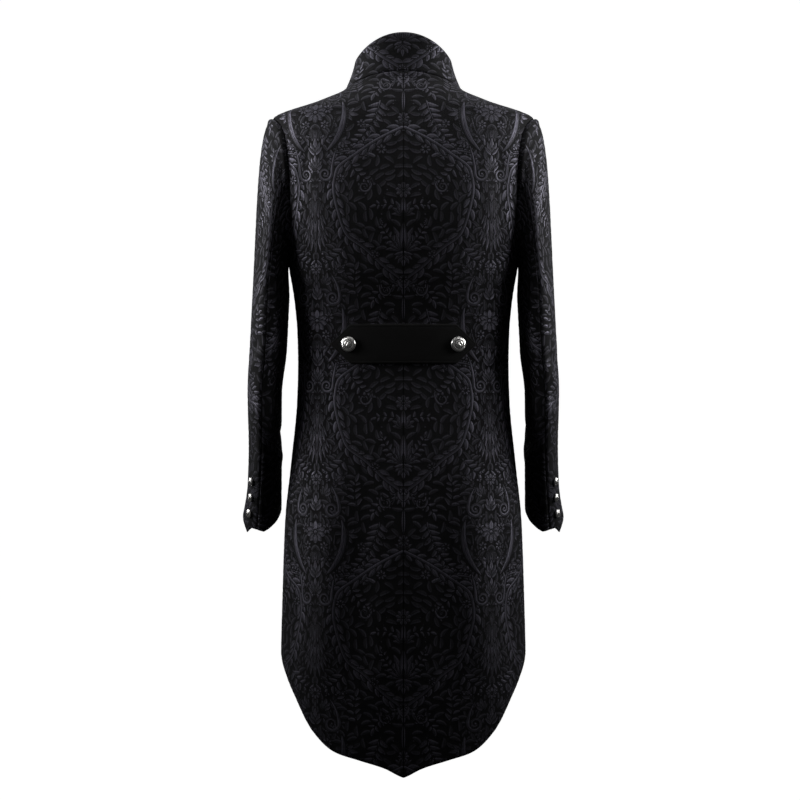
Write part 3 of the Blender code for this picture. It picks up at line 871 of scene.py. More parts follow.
def draw_beads(beads):
    points, _ = curve_points(beads.x, beads.y, beads.heading, beads.length, beads.bend, beads.count)
    for k, point in enumerate(points):
        yield dot(point, beads.radius * (1.2 if k % 2 else 0.8))


def draw_flower(flower):
    for k in range(flower.petals):
        heading = 360 * k / flower.petals
        at = np.radians(heading)
        start = np.array([flower.x, flower.y]) + np.array([np.sin(at), -np.cos(at)]) * flower.radius * 0.3
        yield leaf(*start, heading, flower.radius * 0.8, flower.radius * 0.56, 12)
    yield dot((flower.x, flower.y), flower.radius * 0.2, (0.2, 0))


def inside(stroke, x, y):
    """Shares along a stroke, distances across it and depths inside its edge, for these points."""
    best = np.full(x.shape, -1e9)
    along, across = np.zeros(x.shape), np.zeros(x.shape)
    lengths = np.linalg.norm(np.diff(stroke.points, axis=0), axis=1)
    starts = np.concatenate([[0], np.cumsum(lengths)])
    for k, length in enumerate(lengths):
        (ax, ay), (bx, by) = stroke.points[k], stroke.points[k + 1]
        dx, dy = (bx - ax) / length, (by - ay) / length
        run = np.clip((x - ax) * dx + (y - ay) * dy, 0, length)
        aside = (x - ax) * dy - (y - ay) * dx
        away = np.hypot(x - ax - run * dx, y - ay - run * dy)
        half = stroke.widths[k] + (stroke.widths[k + 1] - stroke.widths[k]) * run / length
        depth = half - away
        nearer = depth > best
        best = np.where(nearer, depth, best)
        along = np.where(nearer, (starts[k] + run) / starts[-1], along)
        across = np.where(nearer, np.copysign(away, aside), across)
    return along, across, best


def flow(x, y):
    """Which way the small leaves point: round the medallion, and upright beside the second axis."""
    down = (y - FLOW_MIDDLE + TILE_HEIGHT / 2) % TILE_HEIGHT - TILE_HEIGHT / 2
    round_medallion = math.degrees(math.atan2(down / FLOW_HEIGHT, max(x, 1.0) / FLOW_WIDTH))
    upright = min(max((x - FLOW_WIDTH * 0.8) / (TILE_WIDTH - FLOW_WIDTH * 0.8), 0), 1)
    return round_medallion * (1 - upright)


class Drawing:
    """The damask's strokes, and a fine map of which stroke owns each place of the half repeat."""

    def __init__(self):
        self.strokes = []
        self.columns, self.rows = int(TILE_WIDTH / CELL), int(TILE_HEIGHT / CELL)
        self.owner = np.zeros((self.rows, self.columns), int)
        self.depth = np.full((self.rows, self.columns), -REACH)
        self.xs = (np.arange(self.columns) + 0.5) * CELL
        for table, draw in (
            (SCROLLS, draw_scroll), (BANDS, draw_band), (FLOWERS, draw_flower), (BEADS, draw_beads),
            (GARLANDS, draw_garland), (VINES, draw_vine), (FANS, draw_fan)
        ):
            for row in table:
                for stroke in draw(row):
                    self.add(stroke)
        self.fill()

    def add(self, stroke):
        """Lays a stroke under those that are there, at each height where the repeat shows it."""
        number = len(self.strokes)
        self.strokes.append(stroke)
        (x0, y0), (x1, y1) = stroke.points.min(axis=0) - REACH, stroke.points.max(axis=0) + REACH
        i0, i1 = max(0, int(x0 / CELL)), min(self.columns, int(x1 / CELL) + 1)
        if i0 >= i1:
            return
        j = np.arange(int(math.floor(y0 / CELL)), int(math.ceil(y1 / CELL)))
        x, y = np.meshgrid(self.xs[i0:i1], (j + 0.5) * CELL)
        depth = inside(stroke, x, y)[2]
        rows = j % self.rows
        block = np.ix_(rows, np.arange(i0, i1))
        # The upper stroke keeps its place and a line of ground round it.
        wins = (depth > self.depth[block]) & (self.depth[block] < -UNDER_GAP)
        self.depth[block] = np.where(wins, depth, self.depth[block])
        self.owner[block] = np.where(wins, number, self.owner[block])

    def fill(self):
        """Puts small curved leaves into the widest ground that is left."""
        crowded = np.clip((self.xs - SPARSE_TO) / (DENSE_FROM - SPARSE_TO), 0, 1)
        least = SPARSE + (DENSE_FILL - SPARSE) * crowded
        for k in range(FILL_LIMIT):
            spare = -self.depth - least
            j, i = np.unravel_index(np.argmax(spare), spare.shape)
            if spare[j, i] < 0:
                break
            room = min(-self.depth[j, i], FILL_LARGEST)
            x, y = (i + 0.5) * CELL, (j + 0.5) * CELL
            heading = flow(x, y) + (24 if k % 2 else -24)
            at = math.radians(heading)
            length = 4.0 * room
            start = (x - math.sin(at) * length / 2, y + math.cos(at) * length / 2)
            self.add(leaf(*start, heading, length, 1.3 * room, 60 if k % 3 else -60)._replace(dull=True))

    def fold(self, u, v):
        """Places in the half repeat, in millimetres, for rows of corners on the cloth, in metres."""
        scale = settings("damask")
        x = np.abs(u) * TILE_WIDTH / scale.half_repeat
        tile = np.floor(x.mean(axis=1, keepdims=True) / TILE_WIDTH)
        x = np.where(tile % 2 == 0, x - tile * TILE_WIDTH, (tile + 1) * TILE_WIDTH - x)
        y = (TILE_TOP * MM - v) * TILE_HEIGHT / scale.rise
        return x, y - np.floor(y.mean(axis=1, keepdims=True) / TILE_HEIGHT) * TILE_HEIGHT

    def cell(self, x, y):
        """The map's cell for each place in the half repeat."""
        i = np.clip((x / CELL).astype(int), 0, self.columns - 1)
        return (y % TILE_HEIGHT / CELL).astype(int).clip(0, self.rows - 1), i

    def raised(self, u, v):
        """How far the figure stands up from its ground, in millimetres."""
        x, y = self.fold(u.reshape(-1, 1), v.reshape(-1, 1))
        depth = self.depth[self.cell(x[:, 0], y[:, 0])]
        return (FIGURE_RISE * np.clip(depth / FIGURE_SLOPE, 0, 1)).reshape(u.shape)

    def measure(self, owner, x, y):
        """Each face's (share, across, depth) at its corners, in the stroke that owns it."""
        out = np.zeros(x.shape + (3,))
        order = np.argsort(owner, kind="stable")
        cuts = np.flatnonzero(np.diff(owner[order])) + 1
        for faces in np.split(order, cuts):
            stroke = self.strokes[owner[faces[0]]]
            middle_y = stroke.points[:, 1].mean()
            shift = np.round((y[faces].mean(axis=1, keepdims=True) - middle_y) / TILE_HEIGHT) * TILE_HEIGHT
            out[faces] = np.stack(inside(stroke, x[faces], y[faces] - shift), axis=-1)
            out[faces, :, 0] += DULL_MARK * stroke.dull
        return out

    def lay(self, u, v):
        """What the upper and the lower of each face's two strokes measure at its corners."""
        x, y = self.fold(u, v)
        middle_x, middle_y = x.mean(axis=1), y.mean(axis=1)
        first = self.owner[self.cell(middle_x, middle_y)]
        second = first.copy()
        for corner in range(x.shape[1]):
            cell = self.cell((middle_x + x[:, corner]) / 2, (middle_y + y[:, corner]) / 2)
            other = (second == first) & (self.owner[cell] != first) & (self.depth[cell] > -UNDER_GAP)
            second = np.where(other, self.owner[cell], second)
        upper, lower = np.minimum(first, second), np.maximum(first, second)
        return self.measure(upper, x, y), self.measure(lower, x, y)


# ---------------------------------------------------------------------------------------------
# Materials
# ---------------------------------------------------------------------------------------------


def settings(group):
    return getattr(bpy.context.scene, "tailcoat_" + group)


class Finish:
    """A material and its node tree, with short calls that add and join nodes."""

    def __init__(self, name):
        self.material = bpy.data.materials.new(name)
        self.material.use_nodes = True
        self.tree = self.material.node_tree
        self.shader = self.tree.nodes["Principled BSDF"]

    def node(self, kind, **values):
        made = self.tree.nodes.new(kind)
        for name, value in values.items():
            setattr(made, name, value)
        return made

    def put(self, value, socket):
        """Joins a socket to this one, or sets it to this number or colour."""
        if isinstance(value, bpy.types.NodeSocket):
            self.tree.links.new(value, socket)
        elif value is not None:
            socket.default_value = value

    def attribute(self, name):
        """One of the mesh's own attributes, whole and as its three numbers."""
        found = self.node("ShaderNodeAttribute", attribute_name=name).outputs["Vector"]
        return found, self.split(found)

    def split(self, vector):
        parts = self.node("ShaderNodeSeparateXYZ")
        self.put(vector, parts.inputs[0])
        return parts.outputs

    def place(self):
        return self.node("ShaderNodeTexCoord").outputs["Object"]

    def maths(self, operation, a, b=None, c=None, clamp=False):
        made = self.node("ShaderNodeMath", operation=operation, use_clamp=clamp)
        for socket, value in zip(made.inputs, (a, b, c)):
            self.put(value, socket)
        return made.outputs[0]

    def times(self, first, second):
        return self.maths("MULTIPLY", first, second)

    def line(self, value, slope, start):
        """The value times the slope, plus the start."""
        return self.maths("MULTIPLY_ADD", value, slope, start)

    def ramp(self, value, low, high, to_low=0.0, to_high=1.0):
        """A smooth step of this value from one range to another."""
        made = self.node("ShaderNodeMapRange", interpolation_type="SMOOTHSTEP")
        for socket, setting in zip(made.inputs, (value, low, high, to_low, to_high)):
            self.put(setting, socket)
        return made.outputs[0]

    def mix(self, share, first, second):
        made = self.node("ShaderNodeMix", data_type="RGBA")
        for socket, value in zip((made.inputs[0], made.inputs[6], made.inputs[7]), (share, first, second)):
            self.put(value, socket)
        return made.outputs[2]

    def scaled(self, colour, factor):
        """A colour made lighter or darker by this factor."""
        made = self.node("ShaderNodeVectorMath", operation="SCALE")
        self.put(colour, made.inputs[0])
        self.put(factor, made.inputs[3])
        return made.outputs[0]

    def stretch(self, vector, scale):
        made = self.node("ShaderNodeMapping")
        self.put(vector, made.inputs["Vector"])
        self.put(scale, made.inputs["Scale"])
        return made.outputs[0]

    def noise(self, vector, scale, detail=2.0):
        made = self.node("ShaderNodeTexNoise")
        self.put(vector, made.inputs["Vector"])
        made.inputs["Scale"].default_value = scale
        made.inputs["Detail"].default_value = detail
        return made.outputs[0]

    def bump(self, height, depth, under=None):
        """A bump of this height, where 1 stands for this depth in metres."""
        made = self.node("ShaderNodeBump")
        made.inputs["Distance"].default_value = depth
        self.put(height, made.inputs["Height"])
        self.put(under, made.inputs["Normal"])
        return made.outputs[0]

    def finish(self, colour, roughness, normal=None, steady=None):
        """Joins what varies over the surface; steady names the shader's own sockets and their numbers."""
        self.put(colour, self.shader.inputs["Base Color"])
        self.put(roughness, self.shader.inputs["Roughness"])
        self.put(normal, self.shader.inputs["Normal"])
        for name, value in (steady or {}).items():
            self.shader.inputs[name].default_value = value
        return self.material


def colour4(colour):
    return (*colour, 1.0)


THREAD = 0.00046  # metres from one thread to the next
TWILL = 1.6  # the ground's twill line, in threads
REVERSE_RIB = 0.0011  # metres from one rib of the wrong side to the next
VEIN = 0.32  # half the width of a leaf's middle vein, in millimetres
# the colour of the buttons' hollows: tarnish, and painted shade
TARNISH_AND_SHADE = (0.035, 0.033, 0.032, 1.0)


def brocade():
    """Black damask: a satin figure with lines of ground round its leaves, on a matt ground."""
    finish, colours = Finish("damask brocade"), settings("colour")
    upper, (_, _, upper_depth) = finish.attribute("damask_upper")
    lower, _ = finish.attribute("damask_lower")
    below = finish.ramp(upper_depth, -UNDER_GAP - 0.05, -UNDER_GAP, 1.0, 0.0)
    share, across, depth = finish.split(finish.mix(below, upper, lower))
    dull = finish.maths("GREATER_THAN", share, DULL_MARK / 2 + 0.5)
    share = finish.line(dull, -DULL_MARK, share)
    cloth, (u, v, edge) = finish.attribute("cloth")
    gap = settings("damask").outline / MM / 2
    frayed = finish.noise(finish.stretch(cloth, (1500, 900, 1)), 1.0, 1.0)
    ragged = finish.line(frayed, 0.5, -0.25)
    inner = finish.maths("ADD", depth, ragged)
    figure = finish.ramp(inner, gap - 0.12, gap + 0.28)
    # Veins: one along a leaf's middle, and slanting ones to its sides
    away = finish.maths("ABSOLUTE", across)
    middle = finish.ramp(away, VEIN, VEIN + 0.3, 1.0, 0.0)
    slant = finish.line(share, 60.0, finish.times(away, -2.2))
    sides = finish.ramp(finish.maths("SINE", slant), 0.35, 0.95)
    broad = finish.ramp(finish.maths("ADD", away, depth), 1.7, 2.6)
    ends = finish.ramp(share, 0.72, 0.95, 1.0, 0.0)
    vein = finish.times(finish.maths("MAXIMUM", middle, finish.times(sides, 0.55)), broad)
    vein = finish.times(vein, ends)
    satin = finish.times(figure, finish.line(vein, -0.72, 1.0))
    near_half = finish.ramp(across, -0.5, 0.5, 0.4, 1.0)
    satin = finish.times(satin, finish.maths("MAXIMUM", near_half, finish.ramp(depth, 2.0, 3.2)))
    satin = finish.times(satin, finish.line(dull, -0.5, 1.0))
    # Threads: long floats across the figure, a twill line on the ground
    floats = finish.maths("SINE", finish.times(v, math.tau / THREAD))
    twill = finish.maths("SINE", finish.times(finish.maths("ADD", u, v), math.tau / THREAD / TWILL))
    threads = finish.maths(
        "ADD",
        finish.times(floats, finish.times(satin, 0.35)),
        finish.times(twill, finish.maths("SUBTRACT", 0.45, finish.times(satin, 0.45))),
    )
    slub = finish.noise(finish.stretch(cloth, (60, 1400, 1)), 1.0, 3.0)
    patchy = finish.noise(cloth, 9.0, 3.0)
    # Painted sheen: random patches, about a centimetre across, where the cloth's colour is made lighter or
    # darker
    painted_sheen_patches = finish.noise(finish.stretch(cloth, (80, 50, 1)), 1.0, 2.0)
    # Lighter 1 to 3 mm in from every edge: wear along the hems, and a painted highlight on the ridge beside
    # each seam
    wear_and_ridge_highlight = finish.ramp(edge, 1.0, 3.0, 1.0, 0.0)
    # Painted shade: a dark line within 2 mm of every edge, standing for the shade in the creases of the seams
    # and hems
    seam = finish.ramp(edge, 0.5, 1.8, 1.0, 0.0)
    colour = finish.mix(satin, colour4(colours.ground), colour4(colours.figure))
    shade = finish.line(slub, 0.5, 0.75)
    shade = finish.times(shade, finish.line(patchy, 0.5, 0.75))
    shade = finish.times(shade, finish.line(threads, 0.3, 1.0))
    shade = finish.times(shade, finish.line(painted_sheen_patches, 1.5, 0.3))
    # Painted shade along each leaf: lighter at its base and darker towards its tip
    shade = finish.times(shade, finish.line(share, -0.55, 1.3))
    # Wear along the hems and a painted highlight on the seams' ridges
    shade = finish.line(wear_and_ridge_highlight, 0.4, shade)
    # Painted shade in the creases of the seams and hems
    shade = finish.times(shade, finish.line(seam, -0.85, 1.0))
    colour = finish.scaled(colour, shade)
    roughness = finish.line(satin, -0.5, 0.92)
    roughness = finish.maths("MULTIPLY_ADD", finish.maths("SUBTRACT", slub, 0.5), 0.16, roughness, clamp=True)
    raised = finish.ramp(inner, gap - 0.3, gap + 0.9)
    standing = finish.maths("ADD", raised, finish.times(figure, 0.3))
    relief = finish.line(vein, -0.35, standing)
    normal = finish.bump(relief, 0.00014)
    normal = finish.bump(threads, 0.00006, normal)
    finish.put(finish.times(satin, 0.6), finish.shader.inputs["Metallic"])
    return finish.finish(colour, roughness, normal, {"Specular IOR Level": 0.14})


def brocade_reverse():
    """The brocade's wrong side, where the figure's threads lie loose and dull."""
    finish = Finish("brocade reverse")
    cloth, (u, _, _) = finish.attribute("cloth")
    ribs = finish.maths("SINE", finish.times(u, math.tau / REVERSE_RIB))
    slub = finish.noise(finish.stretch(cloth, (900, 70, 1)), 1.0, 3.0)
    blotch = finish.ramp(finish.noise(cloth, 46.0, 4.0), 0.42, 0.6)
    shade = finish.line(slub, 0.7, finish.line(blotch, 0.55, 0.5))
    colour = finish.scaled(tuple(settings("colour").reverse), shade)
    roughness = finish.line(slub, 0.2, 0.6)
    return finish.finish(colour, roughness, finish.bump(finish.maths("ADD", ribs, slub), 0.00007))


def velvet():
    """Black velvet: pile that lies a little to and fro, and a row of stitches inside its edge."""
    finish = Finish("black velvet")
    cloth, (_, _, edge) = finish.attribute("cloth")
    brushed = finish.noise(finish.stretch(cloth, (26, 60, 1)), 1.0, 4.0)
    pile = finish.noise(cloth, 2600.0, 2.0)
    from_row = finish.maths("ABSOLUTE", finish.maths("SUBTRACT", edge, float(STITCH_INSET)))
    stitch = finish.ramp(from_row, 0.35, 0.9, 1.0, 0.0)
    shade = finish.line(brushed, 1.3, 0.35)
    shade = finish.times(shade, finish.line(pile, 0.8, 0.6))
    shade = finish.line(finish.ramp(edge, 0.0, 1.6, 1.0, 0.0), 0.6, shade)
    colour = finish.scaled(tuple(settings("colour").velvet), shade)
    roughness = finish.line(pile, 0.1, 0.86)
    normal = finish.bump(finish.maths("SUBTRACT", pile, stitch), 0.0002)
    steady = {"Specular IOR Level": 0.2, "Sheen Weight": 0.02, "Sheen Roughness": 0.35}
    return finish.finish(colour, roughness, normal, steady)


def antique_silver():
    """Polished silvered metal, darker and duller in its hollows, from tarnish and from painted shade."""
    finish = Finish("antique silver")
    _, (relief, _, _) = finish.attribute("relief")
    place = finish.place()
    # Tarnish and painted shade in the hollows: the lower the relief, the darker and duller the silver
    hollow = finish.ramp(relief, -0.15, 0.35, 1.0, 0.0)
    smear = finish.noise(place, 420.0, 4.0)
    scratches = finish.noise(finish.stretch(place, (2500, 300, 900)), 1.0, 3.0)
    tarnish_and_shade = finish.maths("MULTIPLY", hollow, finish.maths("MULTIPLY_ADD", smear, 0.5, 0.62), clamp=True)
    colour = finish.mix(tarnish_and_shade, colour4(settings("colour").silver), TARNISH_AND_SHADE)
    roughness = finish.line(tarnish_and_shade, 0.35, 0.16)
    roughness = finish.line(scratches, 0.16, roughness)
    normal = finish.bump(scratches, 0.00002)
    return finish.finish(colour, roughness, normal, {"Metallic": 1.0})


def stage_paper():
    """The pale floor and backdrop, which glow so that they look even all round."""
    finish, colour = Finish("stage paper"), colour4(settings("colour").stage)
    mottled = finish.line(finish.noise(finish.place(), 3.0), 0.01, 0.995)
    finish.put(colour, finish.shader.inputs["Emission Color"])
    finish.shader.inputs["Emission Strength"].default_value = settings("light").stage_glow
    return finish.finish(finish.scaled(colour[:3], finish.times(mottled, 0.3)), 0.9)


FINISHES = {
    "brocade": brocade,
    "reverse": brocade_reverse,
    "velvet": velvet,
    "silver": antique_silver,
    "stage": stage_paper,
}
made_finishes = {}
drawings = []


def finish_of(name):
    """Each finish is made once."""
    if name not in made_finishes:
        made_finishes[name] = FINISHES[name]()
    return made_finishes[name]


def damask():
    if not drawings:
        drawings.append(Drawing())
    return drawings[0]


# ---------------------------------------------------------------------------------------------
# Cloth objects
# ---------------------------------------------------------------------------------------------


MAP_GAP = 5.0  # millimetres of cloth between charts
MAP_SHARE = 0.96  # of the baking map's side that the charts take up
SEAM_SOFT = 2.0  # how far a pressed seam's hollow spreads, in millimetres
COLLAR_LENGTH = 440
COLLAR_TUCK = 0.06  # share of its height that goes down inside the neckline
COLLAR_ROUND, COLLAR_ROUND_WIDTH = 0.9, 1.1  # how far its edge is rounded, and over what width
BELT_FINER = 0.75  # the belt's grid, for each step of the coat's
BELT_ROUND = 2.6  # how far in from its edge the belt is rounded
BELT_EDGE = 0.8  # what is left of its thickness there
BELT_PUFF, BELT_PUFF_REACH = 0.7, 18  # how full it is, and how far in from its edge that starts
DIMPLE, DIMPLE_SPREAD = 1.1, 320  # a button presses it in by this, falling off with distance squared


def coarse(count, step):
    """Indices from 0 to the last, about this far apart."""
    return np.unique(np.round(np.linspace(0, count - 1, max(2, round((count - 1) / step) + 1))).astype(int))


def add_object(name, data):
    made = bpy.data.objects.new(name, data)
    bpy.context.scene.collection.objects.link(made)
    return made


def link(name, mesh, nodes):
    """Puts a piece in the scene in place of its CAD nodes."""
    made = add_object(name, mesh)
    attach(made, "root")
    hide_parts(*nodes)
    return made


def store(mesh, name, domain, values):
    """Gives a mesh three numbers for each point or corner."""
    made = mesh.attributes.new(name, "FLOAT_VECTOR", domain)
    made.data.foreach_set("vector", np.ascontiguousarray(values, dtype=np.float32).ravel())


def cloth_mesh(name, cloth, inner, reversed_faces, finishes, patterned):
    """A closed thin wall: the outside on the cloth's full grid, the inside on a coarser one.

    cloth.points and inner are grids in millimetres; finishes are the outside's and the inside's."""
    rows, columns = cloth.u.shape
    inside_step = settings("cloth").inside_step
    r, c = coarse(rows, inside_step), coarse(columns, inside_step)
    number = np.arange(rows * columns).reshape(rows, columns)
    back = rows * columns + np.arange(len(r) * len(c)).reshape(len(r), len(c))
    outer_faces = np.stack([number[:-1, :-1], number[1:, :-1], number[1:, 1:], number[:-1, 1:]], -1)
    inner_faces = np.stack([back[:-1, :-1], back[:-1, 1:], back[1:, 1:], back[1:, :-1]], -1)
    outer_faces, inner_faces = outer_faces.reshape(-1, 4), inner_faces.reshape(-1, 4)
    rim = []
    borders = (
        (number[0, ::-1], back[0, ::-1], (columns - 1 - c)[::-1]),
        (number[:, 0], back[:, 0], r),
        (number[-1], back[-1], c),
        (number[::-1, -1], back[::-1, -1], (rows - 1 - r)[::-1]),
    )
    for outside, within, marks in borders:
        for k in range(len(marks) - 1):
            run = list(outside[marks[k] : marks[k + 1] + 1])
            rim.append(run[::-1] + [within[k], within[k + 1]])
    faces = [*outer_faces.tolist(), *inner_faces.tolist(), *[[int(i) for i in face] for face in rim]]
    if reversed_faces:
        faces = [face[::-1] for face in faces]
    points = np.concatenate([cloth.points.reshape(-1, 3), inner[np.ix_(r, c)].reshape(-1, 3)]) * MM
    mesh = bpy.data.meshes.new(name)
    mesh.from_pydata(points.tolist(), [], faces)
    for finish in finishes:
        mesh.materials.append(finish_of(finish))
    side = np.zeros(len(faces), np.int32)
    side[len(outer_faces) : len(outer_faces) + len(inner_faces)] = 1
    mesh.polygons.foreach_set("material_index", side)
    mesh.shade_smooth()

    edge = grid_edge_distance(cloth.points)
    flat = np.stack([cloth.u * MM, cloth.v * MM, edge], -1)
    laid = np.concatenate([flat.reshape(-1, 3), flat[np.ix_(r, c)].reshape(-1, 3)])
    store(mesh, "cloth", "POINT", laid)

    corners = np.array([i for face in faces[: len(outer_faces)] for i in face])
    if patterned:
        u, v = (cloth.u.ravel()[corners] * MM, cloth.v.ravel()[corners] * MM)
        drawn = damask().lay(u.reshape(-1, 4), v.reshape(-1, 4))
        for name, numbers in zip(("damask_upper", "damask_lower"), drawn):
            all_corners = np.full((len(mesh.loops), 3), (0.5, 0.0, -REACH))
            all_corners[: len(corners)] = numbers.reshape(-1, 3)
            store(mesh, name, "CORNER", all_corners)
    lay_out(mesh, cloth, laid, len(outer_faces), len(inner_faces))
    return mesh


def grid_edge_distance(points):
    """How far each point is from the cloth's nearest edge, in millimetres."""
    down = edge_distance(points.transpose(1, 0, 2)).T
    return np.minimum(edge_distance(points), down)


def lay_out(mesh, cloth, laid, outer_count, inner_count):
    """The baking map: the outside flat on the left, the inside on the right, the rim beside the outside."""
    width, height = np.ptp(cloth.u), np.ptp(cloth.v)
    scale = MAP_SHARE / max(height, 2 * width + 4 * MAP_GAP)
    where = (laid[:, :2] / MM - (cloth.u.min(), cloth.v.min()) + MAP_GAP) * scale
    corner_points = np.zeros(len(mesh.loops), np.int32)
    mesh.loops.foreach_get("vertex_index", corner_points)
    uv = where[corner_points]
    outer_corners, inner_corners = outer_count * 4, (outer_count + inner_count) * 4
    uv[outer_corners:inner_corners, 0] += (width + 2 * MAP_GAP) * scale
    # The rim's inner points lie just outside the chart, on the side away from its middle.
    grid_points = cloth.u.size
    rim = np.arange(inner_corners, len(uv))
    within = rim[corner_points[rim] >= grid_points]
    centre = np.array([width / 2 + MAP_GAP, height / 2 + MAP_GAP]) * scale
    outwards = (uv[within] - centre) / np.array([width, height])
    turned = np.abs(outwards[:, 0]) > np.abs(outwards[:, 1])
    push = np.where(turned[:, None], [[1, 0]], [[0, 1]]) * np.sign(outwards)
    uv[within] += push * WALL * scale
    layer = mesh.uv_layers.new(name="OFBake")
    layer.data.foreach_set("uv", uv.astype(np.float32).ravel())


def cloth_area(points):
    """The area of a grid of cloth, in square metres."""
    a = points[1:, 1:] - points[:-1, :-1]
    b = points[1:, :-1] - points[:-1, 1:]
    return float(np.linalg.norm(np.cross(a, b), axis=-1).sum() / 2) * MM * MM


def sewn_piece(piece, side, cloth, outward):
    """One side's piece, its seams sunk and its creases moved, as an object in the scene.

    outward is 1 where the grid's own normals point out of the coat, or -1."""
    normals = grid_normals(cloth.points) * outward
    sink = settings("cloth").seam_sink / MM * np.exp(-((grid_edge_distance(cloth.points) / SEAM_SOFT) ** 2))
    relief = crease_relief(piece, side, cloth) * settings("cloth").crease_scale - sink
    relief += damask().raised(cloth.u * MM, cloth.v * MM)
    outer = cloth.points + normals * relief[..., None]
    inner = outer - normals * (WALL - sink)[..., None]
    flip = np.array([side, 1, 1])
    moved = Cloth(outer * flip, cloth.u, cloth.v)
    name = f"{piece}_{'left' if side > 0 else 'right'}"
    reversed_faces = (outward > 0) != (side > 0)
    mesh = cloth_mesh(name, moved, inner * flip, reversed_faces, ("brocade", "reverse"), True)
    declare(link(name + "_cloth", mesh, [name]), cloth)


def declare(made, cloth):
    """Works out a piece's cut length, flat size and area, and does nothing with them."""
    length = max(float(np.ptp(cloth.v)), float(run_along(cloth.points)[-1].max()))
    flat = (float(np.ptp(cloth.u)) * MM, length * MM)
    area = min(cloth_area(cloth.points), flat[0] * flat[1])


def collar_height(angle):
    cosine = np.cos(np.radians(angle))
    end = np.where(cosine > 0, COLLAR_BACK_HEIGHT, COLLAR_FRONT_HEIGHT)
    return COLLAR_SIDE_HEIGHT + (end - COLLAR_SIDE_HEIGHT) * np.abs(cosine) ** COLLAR_RISE


def collar_point(angle, share):
    """Points of the collar's outside. share is 0 at the neckline and 1 at the top edge."""
    angle, share = matched(angle, share)
    sine, cosine = np.sin(np.radians(angle)), np.cos(np.radians(angle))
    power = 2 / BODY[0].square
    foot = body_point(0, angle)
    depth = np.where(cosine > 0, COLLAR_TOP_BACK_DEPTH, COLLAR_TOP_FRONT_DEPTH)
    top = np.stack(
        [
            COLLAR_TOP_HALF_WIDTH * signed_power(sine, power),
            depth * signed_power(cosine, power),
            foot[..., 2] + collar_height(angle),
        ],
        axis=-1,
    )
    inwards = -unit(foot * (1, 1, 0))
    bend = COLLAR_HOLLOW * np.sin(np.pi * share)
    return foot + (top - foot) * share[..., None] + inwards * bend[..., None]


def build_collar():
    """One strip round the neck, with its front corners rounded off."""
    step = settings("cloth").grid / MM
    shares = seam_shares(COLLAR_LENGTH, step)
    angles = 360 * even_line(lambda t: collar_point(360 * t - 180, 0.5), shares) - 180
    height = np.concatenate([[-COLLAR_TUCK], np.linspace(0, 1, int(COLLAR_BACK_HEIGHT / step) + 1)])
    reach = np.where(np.abs(angles) > 90, np.abs(collar_point(angles, 1)[:, 0]), COLLAR_CORNER)
    short = np.maximum(0, 1 - reach / COLLAR_CORNER)
    cut = COLLAR_CORNER * (1 - np.sqrt(1 - short * short)) / collar_height(angles)
    parts = height[:, None] * (1 - cut[None, :])
    points = collar_point(angles[None, :], parts) + (0, 0, COLLAR_LIFT)
    points[0, :, :2] *= 1 - COLLAR_TUCK / 2
    front = np.abs(angles) > 90
    keep_apart = np.sign(angles) * np.maximum(np.abs(points[..., 0]), FRONT_OPENING / 2)
    points[..., 0] = np.where(front, keep_apart, points[..., 0])
    arcs = run_along(points, 1)
    u = arcs - arcs[:, arcs.shape[1] // 2, None]
    v = parts * collar_height(angles) + BODY[0].back_rise
    cloth = Cloth(points, u, v)
    normals = grid_normals(points)
    round_off = COLLAR_ROUND * np.exp(-((grid_edge_distance(points) / COLLAR_ROUND_WIDTH) ** 2))
    outer = points - normals * round_off[..., None]
    inner = points - normals * (COLLAR_WALL - round_off)[..., None]
    mesh = cloth_mesh("collar", Cloth(outer, u, v), inner, False, ("brocade", "reverse"), True)
    declare(link("collar_cloth", mesh, ["collar"]), cloth)


def body_normal(side_z, angle):
    along = body_point(side_z, angle + 0.5) - body_point(side_z, angle - 0.5)
    up = body_point(side_z + 0.5, angle) - body_point(side_z - 0.5, angle)
    return unit(np.cross(up, along))


def belt_place(x, share):
    """The (side_z, angle) of a place on the belt. share runs from -1, its lower edge, to 1."""
    past = np.maximum(0.0, (np.abs(x) - (BELT_HALF_LENGTH - BELT_TAPER)) / BELT_TAPER)
    half = (BELT_HEIGHT * (1 - past) + BELT_TIP_HEIGHT * past) / 2
    side_z = BELT_TOP_Z - BELT_HEIGHT / 2 + share * half
    reach = np.abs(x) / body_size("half_width", side_z)
    return side_z, np.sign(x) * np.degrees(np.arcsin(reach ** (body_size("square", side_z) / 2)))


def belt_grid(x, share, lift):
    place = belt_place(x, share)
    return body_point(*place) + body_normal(*place) * np.asarray(lift)[..., None]


